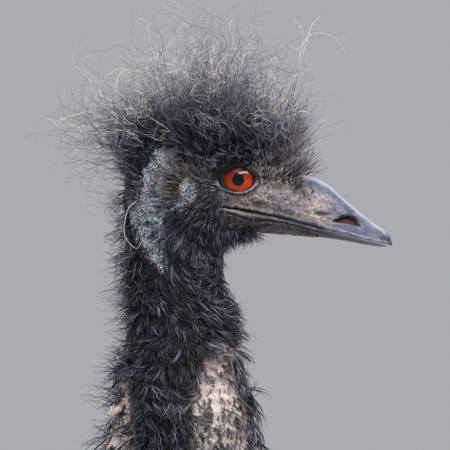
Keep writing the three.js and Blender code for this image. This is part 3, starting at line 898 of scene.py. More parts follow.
def build_bill():
    """Both halves of the bill, with the numbers that their paint needs."""
    upper = lofted("bill_upper_horn", BILL_UPPER, bill_upper_section, 170, (102.4, 0, mouth_line(102)))
    points, upper_fields = sculpt_bill(coordinates(upper.data), normals_of(upper.data))
    place_points(upper.data, points)
    lower = lofted("bill_lower_horn", BILL_LOWER, bill_lower_section, 120, (99, 0, mouth_line(99) - 0.6))
    points, normals = coordinates(lower.data), normals_of(lower.data)
    x, _, z = face_place(points)
    below = mouth_line(x) - z
    push = bumps(below, LOWER_RIMS) * smooth(0.1, 0.4, np.abs(normals[:, 1]))
    place_points(lower.data, points + normals * (push * MM)[:, None])
    lower_fields = {"nostril": x * 0, "high": x * 0, "ridge": x * 0 + 30, "gap": -below, "slot": x * 0}
    horn = horn_paint()
    for thing, fields in ((upper, upper_fields), (lower, lower_fields)):
        store(thing.data, fields)
        thing.data.materials.append(horn)
        thing.data.shade_smooth()
    return upper, lower


def build_eye(name, sign):
    """An eyeball looking out to the side, with a clear bulge over the iris."""
    around, rows = 96, 64
    angle = full_turn(around)
    rings = []
    for tilt in np.linspace(0, np.pi, rows + 2)[1:-1]:
        bulge = BALL - 0.4 + 0.8 * math.exp(-((tilt / 0.62) ** 4))
        across = np.sin(tilt) * np.cos(angle), np.full(around, math.cos(tilt)), np.sin(tilt) * np.sin(angle)
        rings.append(EYES[name] + np.stack(across, -1) * [1, sign, 1] * bulge * MM)
    front, back = [EYES[name][None] + [[0, sign * far * MM, 0]] for far in (BALL + 0.4, 0.4 - BALL)]
    thing = object_from(name + "_eye", *closed_grid(rings, [front, back]))
    points = (coordinates(thing.data) - EYES[name]) / MM
    store(thing.data, {"across": points[:, 0], "up": points[:, 2]})
    thing.data.shade_smooth()
    return thing


def build_claws():
    """The claws of both feet, as one piece."""
    shells = []
    for name, side in SIDES:
        for _, turn, reach, slim in TOES:
            rows = [
                [reach - 4, 13, 7.2, 7.4, 7],
                [reach + 10, 12, 6, 6.4, 5.8],
                [reach + 22, 8.4, 4, 4, 4],
                [reach + 31, 4.4, 1.6, 1.6, 1.5],
            ]
            shells.append(turned_toe(Form(rows, domes=(2, 1.5)).shell(26, 24), name, side * turn, slim))
    thing = object_from("claws", *merged(shells))
    thing.data.shade_smooth()
    return thing


class Wire:
    """A number in a shader: a socket that adds a Math node for each operator used on it."""

    def __init__(self, paint, socket):
        self.paint, self.socket = paint, socket

    def math(self, operation, *others):
        node = self.paint.node("ShaderNodeMath", {"operation": operation}, dict(enumerate((self, *others))))
        return Wire(self.paint, node.outputs[0])

    def __add__(self, other):
        return self.math("ADD", other)

    __radd__ = __add__

    def __sub__(self, other):
        return self.math("SUBTRACT", other)

    def __rsub__(self, other):
        return self.math("MULTIPLY_ADD", -1.0, other)

    def __mul__(self, other):
        return self.math("MULTIPLY", other)

    __rmul__ = __mul__

    def step(self, low, high):
        """0 below low and 1 above high, smoothly, or the other way round where low is larger."""
        ends = (low, high, 0.0, 1.0) if low < high else (high, low, 1.0, 0.0)
        values = dict(zip(("From Min", "From Max", "To Min", "To Max"), ends))
        settings = {"interpolation_type": "SMOOTHSTEP"}
        node = self.paint.node("ShaderNodeMapRange", settings, {"Value": self, **values})
        return Wire(self.paint, node.outputs[0])

    def band(self, middle, half):
        """1 at the middle and 0 further than half away from it."""
        return (self - middle).math("ABSOLUTE").step(half, 0.0)


def feed(tree, socket, value):
    """Links a socket to another one, or gives it a plain value."""
    value = value.socket if isinstance(value, Wire) else value
    if isinstance(value, bpy.types.NodeSocket):
        tree.links.new(value, socket)
    elif hasattr(socket.default_value, "__len__") and len(socket.default_value) == 4:
        socket.default_value = (*value[:3], 1.0)
    else:
        socket.default_value = value


def add_node(tree, kind, settings=None, values=None):
    """A node with its settings made first, then the values or links of its sockets."""
    made = tree.nodes.new(kind)
    for key, setting in (settings or {}).items():
        setattr(made, key, setting)
    for key, value in (values or {}).items():
        feed(tree, made.inputs[key], value)
    return made


class Paint:
    """One material, built from nodes that node() makes."""

    def __init__(self, name):
        self.material = bpy.data.materials.new(name)
        self.material.use_nodes = True
        self.tree = self.material.node_tree
        self.shader = next(n for n in self.tree.nodes if n.type == "BSDF_PRINCIPLED")
        self.place = self.node("ShaderNodeTexCoord").outputs["Object"]

    def node(self, kind, settings=None, values=None):
        return add_node(self.tree, kind, settings, values)

    def attribute(self, name):
        return Wire(self, self.node("ShaderNodeAttribute", {"attribute_name": name}).outputs["Fac"])

    def stretched(self, stretch):
        if stretch is None:
            return self.place
        return self.node("ShaderNodeMapping", {}, {"Vector": self.place, "Scale": stretch}).outputs[0]

    def noise(self, scale, detail=3.0, rough=0.55, stretch=None):
        values = {"Vector": self.stretched(stretch), "Scale": scale, "Detail": detail, "Roughness": rough}
        return Wire(self, self.node("ShaderNodeTexNoise", {}, values).outputs[0])

    def cells(self, scale):
        values = {"Vector": self.place, "Scale": scale}
        return Wire(self, self.node("ShaderNodeTexVoronoi", {}, values).outputs["Distance"])

    def cracks(self, scale):
        """0 along the lines between the cells of a noise, rising away from them."""
        values = {"Vector": self.place, "Scale": scale}
        node = self.node("ShaderNodeTexVoronoi", {"feature": "DISTANCE_TO_EDGE"}, values)
        return Wire(self, node.outputs["Distance"])

    def part(self, axis):
        split = self.node("ShaderNodeSeparateXYZ", {}, {0: self.place})
        return Wire(self, split.outputs[axis])

    def mix(self, first, second, share):
        made = self.node("ShaderNodeMix", {"data_type": "RGBA"}, {0: share, 6: first, 7: second})
        return made.outputs[2]

    def layered(self, color, *layers):
        """A colour with others laid over it in turn, each with its share."""
        for over, share in layers:
            color = self.mix(color, over, share)
        return color

    def finish(self, color, roughness, heights=(), **fixed):
        """Feeds the shader, with a bump for each pair of a height and its distance in metres."""
        feed(self.tree, self.shader.inputs["Base Color"], color)
        feed(self.tree, self.shader.inputs["Roughness"], roughness)
        normal = None
        for height, distance in heights:
            values = {"Height": height, "Distance": distance}
            if normal is not None:
                values["Normal"] = normal
            normal = self.node("ShaderNodeBump", {}, values).outputs[0]
        if normal is not None:
            feed(self.tree, self.shader.inputs["Normal"], normal)
        for key, value in fixed.items():
            self.shader.inputs[key.replace("_", " ")].default_value = value
        return self.material


def shade(given, factor):
    """A colour made darker or lighter, as three plain numbers."""
    return tuple(min(1.0, channel * factor) for channel in given)


def flesh_colour(paint, colours, lilac):
    """The mottled brown and lilac that the face shares with the base of the bill, with painted shade in
    fine wrinkles.
    """
    mottle, grain = paint.noise(330, 5, 0.68), paint.noise(1100, 3, 0.6)
    face = lambda factor: shade(colours.face, factor)
    blue = (paint.noise(120, 3) + 0.12 * lilac).step(0.50, 0.64)
    # Painted shade: dark fine lines, in patches, where the skin is wrinkled.
    lines = paint.cracks(460).step(0.07, 0.0) * mottle.step(0.35, 0.5)
    color = paint.layered(
        face(0.24),
        (face(1.1), mottle.step(0.33, 0.64)),
        (colours.lilac, blue * 0.65),
        (face(0.12), lines * 0.75),
        (face(2.8), grain.step(0.56, 0.70) * 0.7),
        (face(0.07), grain.step(0.44, 0.30) * 0.9),
        (face(0.06), mottle.step(0.40, 0.27) * 0.8),
    )
    return color, mottle, grain


def mouth_bands(paint, color, gap, mottle, colours, ahead):
    """The rims of the mouth: pale edges with painted shade in the slit and the furrows beside them, and a
    dark brown underside.
    """
    under = paint.mix(shade(colours.face, 0.07), shade(colours.face, 0.55), mottle.step(0.36, 0.62))
    streaks = paint.noise(240, 3).step(0.35, 0.7)
    rim = paint.mix(shade(colours.lilac, 0.45), shade(colours.lilac, 1.2), streaks)
    # Painted shade: near black in the slit of the mouth, in the furrows beside the rims and in a crease
    # lower down.
    groove_shade = gap.band(0.0, 0.8) + gap.band(-2.8, 1.2) + gap.band(3.1, 0.7) * ahead.step(20, 36) * 0.7
    return paint.layered(
        color,
        (under, gap.step(-3.4, -4.6) * 0.8),
        (rim, gap.step(0.4, 0.9) * gap.step(2.8, 2.0) * ahead.step(14, 32) * 0.9),
        ((0.22, 0.22, 0.26), gap.step(-0.6, -0.9) * gap.step(-1.8, -1.3) * 0.9),
        ((0.006, 0.005, 0.007), groove_shade + gap.band(-5.4, 0.8) * 0.7),
    )


def fold_colour(paint, colours, up, ahead):
    """The loose skin down the neck: buff with dark creases, brighter behind and dimmer above."""
    crease = paint.noise(210, 4, 0.6, stretch=(1.3, 1.3, 0.6))
    above = up.step(-152, -112) * ahead.step(-55, -42)
    return paint.layered(
        shade(colours.buff, 0.10),
        (colours.buff, crease.step(0.40, 0.54)),
        (shade(colours.buff, 1.4), crease.step(0.36, 0.5) * ahead.step(-55, -75)),
        (shade(colours.buff, 0.25), above * 0.6),
    )


def skin_paint():
    """Black under the coat, flesh on the face, and pale or buff where the skin is bare, with painted shade
    at the lids and along the mouth.
    """
    paint, colours = Paint("bare_skin"), bpy.context.scene.emu_colours
    names = ("pale", "fold", "lid", "face", "gap", "ear", "dark", "lilac")
    pale, fold, lid, face, gap, ear, dark, lilac = (paint.attribute(name) for name in names)
    up, ahead = (paint.part(2) - HEAD[2]) * 1000, (paint.part(0) - HEAD[0]) * 1000
    flesh, mottle, grain = flesh_colour(paint, colours, lilac)
    gloom = dark * (mottle.step(0.62, 0.40) * 0.4 + 0.6)
    flesh = paint.mix(flesh, (0.009, 0.007, 0.008), gloom * 0.93)
    flesh = mouth_bands(paint, flesh, gap, mottle, colours, ahead)
    speck = paint.noise(1000, 3, 0.65)
    white = paint.mix((0.018, 0.021, 0.026), (0.78, 0.85, 0.98), speck.step(0.43, 0.6))
    brown = paint.mix((0.012, 0.009, 0.007), (0.075, 0.055, 0.042), mottle)
    below = up.step(1.5, -2.5)
    wide = (paint.part(0) - (HEAD[0] - 0.006)) * -90
    wide = wide.math("MAXIMUM", 0.0).math("MINIMUM", 1.2)
    rim = lid.step(0.2, 0.6) * (lid - wide).step(2.1, 1.5) * below
    silver = paint.mix((0.055, 0.05, 0.06), (0.25, 0.25, 0.30), grain.step(0.3, 0.62))
    # Painted shade: near black along the lid's edge, where it meets the eye, and in the crease outside the
    # pale rim; the band over the upper lid is painted near black too.
    line = lid.step(0.5, 0.1) + lid.band(2.6, 1.0) + lid.step(3.0, 2.0) * (1 - below)
    color = paint.layered(
        paint.mix((0.0012, 0.0013, 0.003), (0.007, 0.0075, 0.012), mottle.step(0.35, 0.7)),
        (flesh, face.step(0.15, 0.75)),
        (shade(colours.brown, 0.4), up.step(-540, -620)),
        (paint.mix(shade(colours.leg, 0.4), colours.leg, mottle), up.step(-1090, -1160)),
        (brown, ear * 0.8),
        (white, (pale + speck * 0.8 - 0.4).step(0.2, 0.6)),
        (fold_colour(paint, colours, up, ahead), fold.step(0.3, 0.7)),
        (silver, rim),
        ((0.005, 0.004, 0.005), line),
    )
    heights = ((mottle, 0.0008), (grain, 0.0004), (paint.cells(900), 0.0003))
    return paint.finish(color, 0.46 + mottle * 0.25 - rim * 0.3, heights, Specular_IOR_Level=0.3)


def horn_paint():
    """Slate horn with streaks and flesh at its base, with a painted highlight along the ridge and painted
    shade in the nostrils, the groove under the ridge and the slot under the flap.
    """
    paint, colours = Paint("bill_horn"), bpy.context.scene.emu_colours
    names = ("nostril", "ridge", "gap", "slot", "high")
    nostril, ridge, gap, slot, high = (paint.attribute(name) for name in names)
    x = (paint.part(0) - HEAD[0]) * 1000
    flesh, mottle, grain = flesh_colour(paint, colours, 0.0)
    slate = lambda factor: shade(colours.slate, factor)
    streaks = paint.noise(190, 4, 0.62, stretch=(0.25, 1, 1.5))
    skin = (x + paint.noise(150, 2) * 16).step(78, 62) * ridge.step(5, 10) * gap.step(1.0, 3.5)
    color = paint.layered(
        slate(0.55),
        (slate(1.7), paint.noise(110, 4).step(0.3, 0.7)),
        (slate(3.4), streaks.step(0.54, 0.72) * 0.5),
        (slate(0.18), streaks.step(0.40, 0.28) * 0.7),
        (flesh, skin),
        # Painted highlight: a pale strip just under the ridge, standing in for light on the top of the
        # bill.
        ((0.30, 0.31, 0.36), ridge.step(3.4, 1.0) * x.step(101, 96) * 0.8),
        # Painted shade: dark brown in the groove under the ridge.
        ((0.045, 0.028, 0.018), ridge.band(6.0, 0.9) * x.step(66, 74) * 0.8),
        # Painted shade: patchy near black in the slot under the flap behind the nostril.
        ((0.012, 0.009, 0.009), slot.step(0.25, 0.8) * mottle.step(0.25, 0.5) * 0.95),
    )
    # Painted shade: near black inside each nostril; the dark red near its top and the beige floor are the
    # nostril's own colours.
    inside = nostril.step(0.1, 0.5)
    color = paint.layered(
        mouth_bands(paint, color, gap, mottle, colours, x),
        ((0.006, 0.003, 0.003), inside),
        ((0.060, 0.004, 0.005), inside * high.band(0.72, 0.25) * 0.9),
        ((0.15, 0.11, 0.08), inside * high.step(0.30, 0.12) * mottle.step(0.3, 0.6)),
        ((0.02, 0.018, 0.022), x.step(99, 102) * 0.8),
    )
    rough = 0.24 + x.step(78, 58) * 0.2 + ridge.step(3, 8) * 0.12
    heights = ((mottle, 0.0008), (grain, 0.0003), (streaks, 0.0004))
    return paint.finish(color, rough, heights, Specular_IOR_Level=0.36)


def eye_paint():
    """A bright iris with fine fibres, shaded by the upper lid, round a black pupil."""
    paint, colours = Paint("wet_eye"), bpy.context.scene.emu_colours
    across, up = paint.attribute("across"), paint.attribute("up")
    radius = ((across + 0.4) * (across + 0.4) + up * up).math("SQRT")
    fibres = paint.noise(900, 4, 0.62)
    # Painted shade of the upper lid: the fibres show brighter low on the iris.
    bright = (fibres * 1.5 + up.step(5, -8) * 0.4).step(0.6, 1.15)
    iris = paint.layered(
        shade(colours.iris, 0.22),
        (colours.iris, bright),
        (shade(colours.iris, 0.25), radius.step(8.4, 9.7)),
        # Painted shade of the upper lid: dark red over the top of the iris.
        ((0.05, 0.003, 0.004), up.step(1.0, 7.0) * 0.9),
    )
    pupil, rim = (0.0015, 0.002, 0.006), (0.003, 0.002, 0.003)
    color = paint.layered(pupil, (iris, radius.step(3.9, 4.5)), (rim, radius.step(9.4, 9.9)))
    return paint.finish(color, 0.3, Specular_IOR_Level=0.0, Coat_Weight=0.6, Coat_Roughness=0.01)


def plate_paint():
    paint, colours = Paint("leg_plates"), bpy.context.scene.emu_colours
    tone, mottle = paint.noise(60, 3), paint.noise(520, 4)
    color = paint.mix(shade(colours.leg, 0.35), shade(colours.leg, 1.3), tone.step(0.3, 0.72))
    color = paint.mix(color, shade(colours.leg, 2.3), mottle.step(0.58, 0.8) * 0.5)
    heights = ((mottle, 0.0004), (paint.cells(900), 0.0002))
    return paint.finish(color, 0.48 + mottle * 0.25, heights)


def claw_paint():
    paint = Paint("claw_horn")
    streaks = paint.noise(220, 4, stretch=(0.3, 1, 1))
    color = paint.mix((0.008, 0.007, 0.008), (0.08, 0.065, 0.055), streaks.step(0.38, 0.8))
    return paint.finish(color, 0.3 + streaks * 0.25, ((streaks, 0.0004),))


def feather_paint(name, root, middle, tip, pale, share, warm=None):
    """A paint for strands that run from root to tip, with a share of them pale."""
    paint = Paint(name)
    along, tone = paint.attribute("along"), paint.attribute("tone")
    layers = [
        (middle, along.step(0.0, 0.5)),
        (tip, along.step(0.35, 1.0) * tone.step(0.05, 0.75)),
        (pale, tone.step(0.97 - share, 1.03 - share) * along.step(0.15, 0.55)),
    ]
    if warm:
        warmth = paint.attribute("warm") * along.step(0.0, 0.6) * tone.step(-0.1, 0.6)
        layers.insert(2, (warm, warmth))
    return paint.finish(paint.layered(root, *layers), 0.34 + tone * 0.14, Specular_IOR_Level=0.55)


def turned(vectors, axes, angles):
    """Vectors turned about axes by angles, row by row."""
    cos, sin = np.cos(angles)[:, None], np.sin(angles)[:, None]
    dot = np.sum(vectors * axes, axis=1, keepdims=True)
    return vectors * cos + np.cross(axes, vectors) * sin + axes * dot * (1 - cos)


def strand_faces(rings):
    """Corners of the faces of one strand: rings of three, with the tip last."""
    faces = []
    for low in range(0, (rings - 1) * 3, 3):
        for corner in range(3):
            beside = (corner + 1) % 3
            faces.append((low + corner, low + beside, low + 3 + beside, low + 3 + corner))
    last = (rings - 1) * 3
    faces += [(last + corner, last + (corner + 1) % 3, last + 3) for corner in range(3)]
    return [*faces, (2, 1, 0)]


class Coat:
    """Feathers as closed strands that taper to a point, gathered from many patches."""

    def __init__(self, name, width, steps, flat=1.0, warm=None):
        self.name, self.width, self.steps, self.flat, self.warm = name, width, steps, flat, warm
        self.parts = []

    def add(self, paths, tones, places, sizes, outs):
        self.parts.append((paths, tones, places, sizes, outs))

    def finish(self, material, slot, most=195000):
        """Makes the pieces of the coat, each with fewer faces than a piece may have."""
        fields = [np.concatenate(field) for field in zip(*self.parts)]
        order = np.argsort(fields[2][:, 0], kind="stable")
        count = math.ceil(len(order) * (6 * self.steps - 2) / most)
        for number, chosen in enumerate(np.array_split(order, count), 1):
            name = self.name if count == 1 else f"{self.name}_{number}"
            thing = self.piece(name, *(field[chosen] for field in fields))
            thing.data.materials.append(material)
            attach(thing, BODY)

    def piece(self, name, paths, tones, places, sizes, outs):
        """One mesh of strands along paths, three-sided, with its tones and unwrap."""
        count, rings = len(paths), self.steps
        ahead = unit(np.diff(paths, axis=1))
        ahead[:, 1:] = unit(ahead[:, 1:] + ahead[:, :-1])
        across = unit(np.cross(ahead, outs[:, None, :] + ahead[:, :, [1, 2, 0]] * 0.15))
        out = np.cross(across, ahead)
        share = np.linspace(0, 1, rings + 1)
        profile = (1 - 0.75 * share**2) * np.minimum(1, 0.55 + share * 3)
        radius = (sizes * self.width / 2)[:, None] * profile[None, :-1]
        each = rings * 3 + 1
        verts = np.empty((count, each, 3))
        for corner in range(3):
            angle = corner * 2 * np.pi / 3 + np.pi / 2
            spread = across * math.cos(angle) + out * (math.sin(angle) * self.flat)
            verts[:, corner : each - 1 : 3] = paths[:, :-1] + spread * radius[:, :, None]
        verts[:, -1] = paths[:, -1]
        faces = strand_faces(rings)
        loops = np.concatenate(faces)
        starts = np.cumsum([0] + [len(face) for face in faces[:-1]])
        one = np.arange(count)[:, None]
        index = (one * each + loops[None]).ravel()
        mesh = bpy.data.meshes.new(name)
        mesh.vertices.add(count * each)
        mesh.vertices.foreach_set("co", verts.astype(np.float32).ravel())
        mesh.loops.add(len(index))
        mesh.loops.foreach_set("vertex_index", index.astype(np.int32))
        mesh.polygons.add(count * len(faces))
        mesh.polygons.foreach_set("loop_start", (one * len(loops) + starts[None]).ravel().astype(np.int32))
        mesh.update(calc_edges=True)
        along = np.append(np.repeat(share[:-1], 3), 1.0)
        store(mesh, {"along": np.tile(along, count), "tone": np.repeat(tones, each)})
        if self.warm:
            store(mesh, {"warm": np.repeat(self.warm(paths[:, 0]), each)})
        patch = 0.003  # the part of the unwrap that one strand takes
        local = np.stack([np.append(np.tile([0, 0.5, 1], rings), 0.5), along], -1)
        uv = (np.clip(places, 0, 1) * (1 - patch))[:, None] + local[None] * patch
        layer = mesh.uv_layers.new(name="OFBake")
        layer.data.foreach_set("uv", uv.reshape(-1, 2)[index].astype(np.float32).ravel())
        mesh.shade_smooth()
        return linked(name, mesh)


WHOLE = (0.0, 1.0)
NEAR, FAR = 0.006, 0.016  # how far the skin may lie from a form whose feathers grow on it, in metres


class Growth:
    """Roots of feathers on the skin, and the strands that grow from them."""

    def __init__(self, skin, seed):
        self.random = np.random.default_rng(seed)
        self.tree = BVHTree.FromObject(skin, bpy.context.evaluated_depsgraph_get())

    def scatter(self, form, density, along, angle, keep, lie, reach=NEAR, columns=WHOLE):
        """Roots at a density for each square centimetre of part of a form, laid on the skin.

        Each is a point, the way out, the way its strands lie and its place on the unwrap. Reach is
        how far off the skin may be, and columns the part of the unwrap that the form takes."""
        random, step = self.random, 0.004
        probe = random.uniform(*along, 4000), random.uniform(*angle, 4000)
        largest = np.percentile(self.stretch(form, *probe, step), 99.5)
        tries = int(density * 1e4 * largest * (along[1] - along[0]) * (angle[1] - angle[0]))
        share, round_ = random.uniform(*along, tries), random.uniform(*angle, tries)
        here = form.at(share, round_)
        chance = self.stretch(form, share, round_, step) / largest * keep(here)
        rows = []
        for row in np.flatnonzero(random.random(tries) < chance):
            spot, normal, _, away = self.tree.find_nearest(Vector(here[row]), 0.03)
            if spot and away < reach:
                rows.append((row, *spot, *normal))
        rows = np.array(rows)
        rows = rows[(ahead_of_edge(rows[:, 1:4]) < -2) | (rows[:, 3] < BELOW_BILL)]
        chosen, points, normals = rows[:, 0].astype(int), rows[:, 1:4], rows[:, 4:7]
        lies = lie(points, form, share[chosen], round_[chosen])
        lies = unit(lies - normals * np.sum(lies * normals, axis=1, keepdims=True))
        across = columns[0] + (round_[chosen] / (2 * np.pi)) % 1 * (columns[1] - columns[0])
        return points, normals, lies, np.stack([across, share[chosen]], -1)

    @staticmethod
    def stretch(form, share, round_, step):
        """How much surface one unit of each coordinate of a form spans."""
        here = form.at(share, round_)
        sides = form.at(share + step, round_) - here, form.at(share, round_ + step) - here
        return np.linalg.norm(np.cross(*sides), axis=1) / step**2

    def tufts(self, coat, roots, number, size, lift, bend, fan, swirl=0.0, fall=0.0, gather=0.5, curl=0.4):
        """Tufts of strands. Lift raises them off the skin, bend draws them back, fan spreads a tuft,
        swirl turns them in the skin's plane and curl makes that uneven, and fall lets them hang."""
        points, normals, lies, places = roots
        random, count = self.random, len(points)
        value = lambda given: given(points) if callable(given) else np.full(count, float(given))
        repeat = lambda values: np.repeat(values, number, axis=0)
        sizes = repeat(value(size) * random.uniform(0.75, 1.2, count))
        total = count * number
        rise = repeat(value(lift) + random.normal(0, 0.15, count)) + random.normal(0, fan * 0.5, total)
        turn = repeat(value(swirl) + random.normal(0, curl, count)) + random.normal(0, 0.2, total)
        drop = repeat(value(bend) + random.normal(0, 0.2, count)) + random.normal(0, 0.12, total)
        tone = np.clip(repeat(random.random(count)) + random.normal(0, 0.12, total), 0, 1)
        out, lie = repeat(normals), repeat(lies)
        way = turned(lie, out, repeat(random.normal(0, fan, count)) + random.normal(0, fan, total))
        way = unit(way * np.cos(rise)[:, None] + out * np.sin(rise)[:, None])
        side = unit(np.cross(out, lie))
        sunk = np.minimum(0.8 * MM, sizes * 0.07)[:, None]
        start = repeat(points) + side * (random.normal(0, gather, total) * MM)[:, None] - out * sunk
        step = (sizes * random.uniform(0.8, 1.1, total) / coat.steps)[:, None]
        path = [start]
        for _ in range(coat.steps):
            path.append(path[-1] + way * step)
            way = turned(way, out, turn / coat.steps)
            way = turned(way, unit(np.cross(way, out) + 1e-9), -drop / coat.steps)
            way = unit(way + np.array([0, 0, -fall / coat.steps]))
        coat.add(np.stack(path, 1), tone, repeat(places), random.uniform(0.75, 1.25, total), out)

    def curls(self, coat, roots, number, size, rise, curl, fan, beats=(8, 18), loose=0.25, up=0.0):
        """Locks of loose strands that start nearly straight, then waver and wind together. Curl is how
        sharply they turn, in radians for each millimetre, loose how far they stray from their lock, and up
        how much they rise whatever way the skin faces."""
        points, normals, lies, places = roots
        random, count, total = self.random, len(points), len(points) * number
        repeat = lambda values: np.repeat(values, number, axis=0)
        strayed = lambda values, spread: repeat(values) + random.normal(0, spread, total)
        out, lie = repeat(normals), repeat(lies)
        rises = strayed(rise + random.normal(0, 0.25, count), loose)
        way = turned(lie, out, strayed(random.normal(0, fan, count), loose))
        way = unit(way * np.cos(rises)[:, None] + out * np.sin(rises)[:, None] + np.array([0, 0, up]))
        axis = repeat(random.normal(size=(count, 3)) * [0.5, 1.0, 0.5])
        axis = unit(axis + random.normal(0, loose, (total, 3)))
        axis = unit(axis - way * np.sum(axis * way, axis=1, keepdims=True))
        sizes = (size(points) if callable(size) else size) * random.uniform(0.55, 1.1, count)
        sizes = repeat(sizes) * random.uniform(0.8, 1.05, total)
        step = sizes / coat.steps
        rate = repeat(curl * random.uniform(0.35, 1.25, count)) * random.uniform(0.85, 1.15, total)
        phase = strayed(random.uniform(0, 2 * np.pi, count), 2 * loose)
        beat = strayed(random.uniform(*beats, count), loose)
        path = [repeat(points) - out * MM]
        for index in range(coat.steps):
            share = index / coat.steps
            path.append(path[-1] + way * step[:, None])
            bend = 1.5 * np.sin(phase + share * beat) * smooth(0.05, 0.35, share)
            bend += 1.8 * smooth(0.5, 1.0, share)
            way = turned(way, axis, np.clip(rate * bend * step / MM, -0.62, 0.62))
            axis = unit(axis + random.normal(0, 0.1, (total, 3)))
        path = np.stack(path, 1)
        x, _, z = face_place(path.reshape(-1, 3))
        clear = ((z > feather_line(x) + 1) | (x < -42)).reshape(total, -1).all(axis=1)
        tones = np.clip(strayed(random.random(count), 0.02), 0, 1)
        fields = (path, tones, repeat(places), random.uniform(0.6, 1.2, total), axis)
        coat.add(*(field[clear] for field in fields))


def feather_line(x):
    """Height above the eyes at which the dense feathers of the crown begin."""
    ahead = [-67, -61, -53, -42, -30, -16, 0, 12, 30, 44, 52]
    return np.interp(x, ahead, [-34, 2, 24, 20, 11, 10, 10.2, 9.4, 7.0, 0.8, -4])


def forehead_keep(points):
    """The front edge of the crown, over the base of the bill."""
    x, _, z = face_place(points)
    return hill(x, z, (41, 5), (8, 9))


def crown_keep(points):
    x, _, z = face_place(points)
    return smooth(-2, 3, z - feather_line(x)) * smooth(48, 45, x)


def cheek_keep(points):
    """Short feathers behind and below the eye, round the ear and over the jaw."""
    x, _, z = face_place(points)
    away = smooth(1.6, 2.8, eye_places(points)[1])
    behind = np.clip(smooth(-4, -12, x) + smooth(-25, -33, z) * smooth(30, 8, x), 0, 1)
    off_mouth = np.maximum(smooth(-9, -13, x), smooth(3, 6, np.abs(z - mouth_line(x))))
    return behind * away * off_mouth * smooth(5, 0, z - feather_line(x)) * (1 - 0.6 * bare_patches(points))


def ear_keep(points):
    """Short bristles on the pale skin behind the ear."""
    return smooth(0.15, 0.6, bare_patches(points))


def face_keep(points):
    x, _, z = face_place(points)
    away = smooth(2.2, 3.4, eye_places(points)[1]) * smooth(-32, -24, x) * smooth(47, 40, x)
    off_mouth = smooth(1.5, 4, np.abs(z - mouth_line(x)))
    line = z - feather_line(x)
    behind = smooth(-4, -14, x)
    return away * off_mouth * smooth(4, 0, line) * np.maximum(0.12 + 0.88 * smooth(-15, -6, line), behind)


def neck_keep(points):
    hide = 0.6 + 0.33 * smooth(-50, -60, face_place(points)[0])
    return (1 - 0.88 * bare_patches(points)) * (1 - hide * lower_folds(points))


def ways(x, *parts):
    """Vectors from parts that may be numbers or one value for each point."""
    return np.stack([part + 0 * x for part in parts], -1)


def crown_lie(points, form, along, angle):
    """Upwards and back, and forwards over the forehead."""
    x, _, z = face_place(points)
    front, top = smooth(2, 38, x), smooth(8, 30, z)
    way = ways(x, -0.9 + 1.9 * front, 0, 0.25 + 0.7 * front + 0.35 * (1 - top))
    return way + wander(points, 24, 21)[:, None] * np.array([0.15, 0.4, 0.3])


def cheek_lie(points, form, along, angle):
    """Back from the ear in a fan, and down over the jaw."""
    x, _, z = face_place(points)
    low = smooth(-10, -22, z)[:, None]
    fan = unit(ways(x, np.minimum(x - EAR_FAN[0], -2) - 4, 0, z - EAR_FAN[1]))
    jaw = unit(ways(x, np.minimum(x + 14, 6), 0, z + 8))
    return unit(fan * (1 - low) + jaw * low) + wander(points, 14, 22)[:, None] * np.array([0.12, 0, 0.15])


def face_lie(points, form, along, angle):
    """Forwards and down over the face, and up at the brow."""
    x, _, z = face_place(points)
    up = smooth(-20, -9, z - feather_line(x))
    behind = smooth(-6, -16, x)
    way = ways(x, (0.75 - 0.35 * up) * (1 - behind) - 0.8 * behind, 0, -0.5 + 1.5 * up)
    return way + wander(points, 9, 23)[:, None] * np.array([0.3, 0, 0.35])


def down_lie(points, form, along, angle):
    """The way towards a form's start."""
    return form.at(along - 0.01, angle) - form.at(along + 0.01, angle)


def neck_lie(points, form, along, angle):
    down = unit(down_lie(points, form, along, angle))
    level = unit(form.at(along, angle + 0.02) - form.at(along, angle))
    return down + level * (wander(points, 40, 24) * 1.1)[:, None]


def hanging_lie(points, form, along, angle):
    """Down and a little back."""
    return ways(along, -0.15, 0, -1)


def flank_lie(points, form, along, angle):
    """Backwards and down, drooping more to the side the further from the spine."""
    back = unit(down_lie(points, form, along, angle))
    turn = np.where(np.sin(angle) >= 0, 0.02, -0.02)
    side = unit(form.at(along, angle + turn) - form.at(along, angle))
    aside = 0.15 + 0.75 * smooth(0.0, 0.55, np.abs(np.sin(angle))) - 0.2 * (np.cos(angle) < 0)
    return back * 0.8 + side * aside[:, None] + np.array([0, 0, -0.2])


def black_paint(name, share, warm=None):
    colours = bpy.context.scene.emu_colours
    pale = shade(colours.grey_and_glint, 2.6)
    # The tips are painted lighter: painted glints on the black feathers.
    root, tip = shade(colours.black, 0.25), shade(colours.grey_and_glint, 1.2)
    return feather_paint(name, root, colours.black, tip, pale, share, warm)


def ear_warmth(points):
    """1 where the feathers over the ear are brown."""
    x, _, z = face_place(points)
    return np.clip(1.3 * hill(x, z, (-38, -1), (14, 14), 0.3) + 0.6 * hill(x, z, (0, -47), (9, 8)), 0, 1)


def front_warmth(points):
    """How pale and warm the front of the crown is, and its lower edge over the brow."""
    x, _, z = face_place(points)
    return smooth(10, 38, x) * (0.35 + 0.5 * smooth(14, 2, z - feather_line(x)))


def above_line(points):
    """0 at the lower edge of the crown's feathers and 1 well above it."""
    x, _, z = face_place(points)
    return smooth(1, 14, z - feather_line(x) + 8 * smooth(20, 40, x))


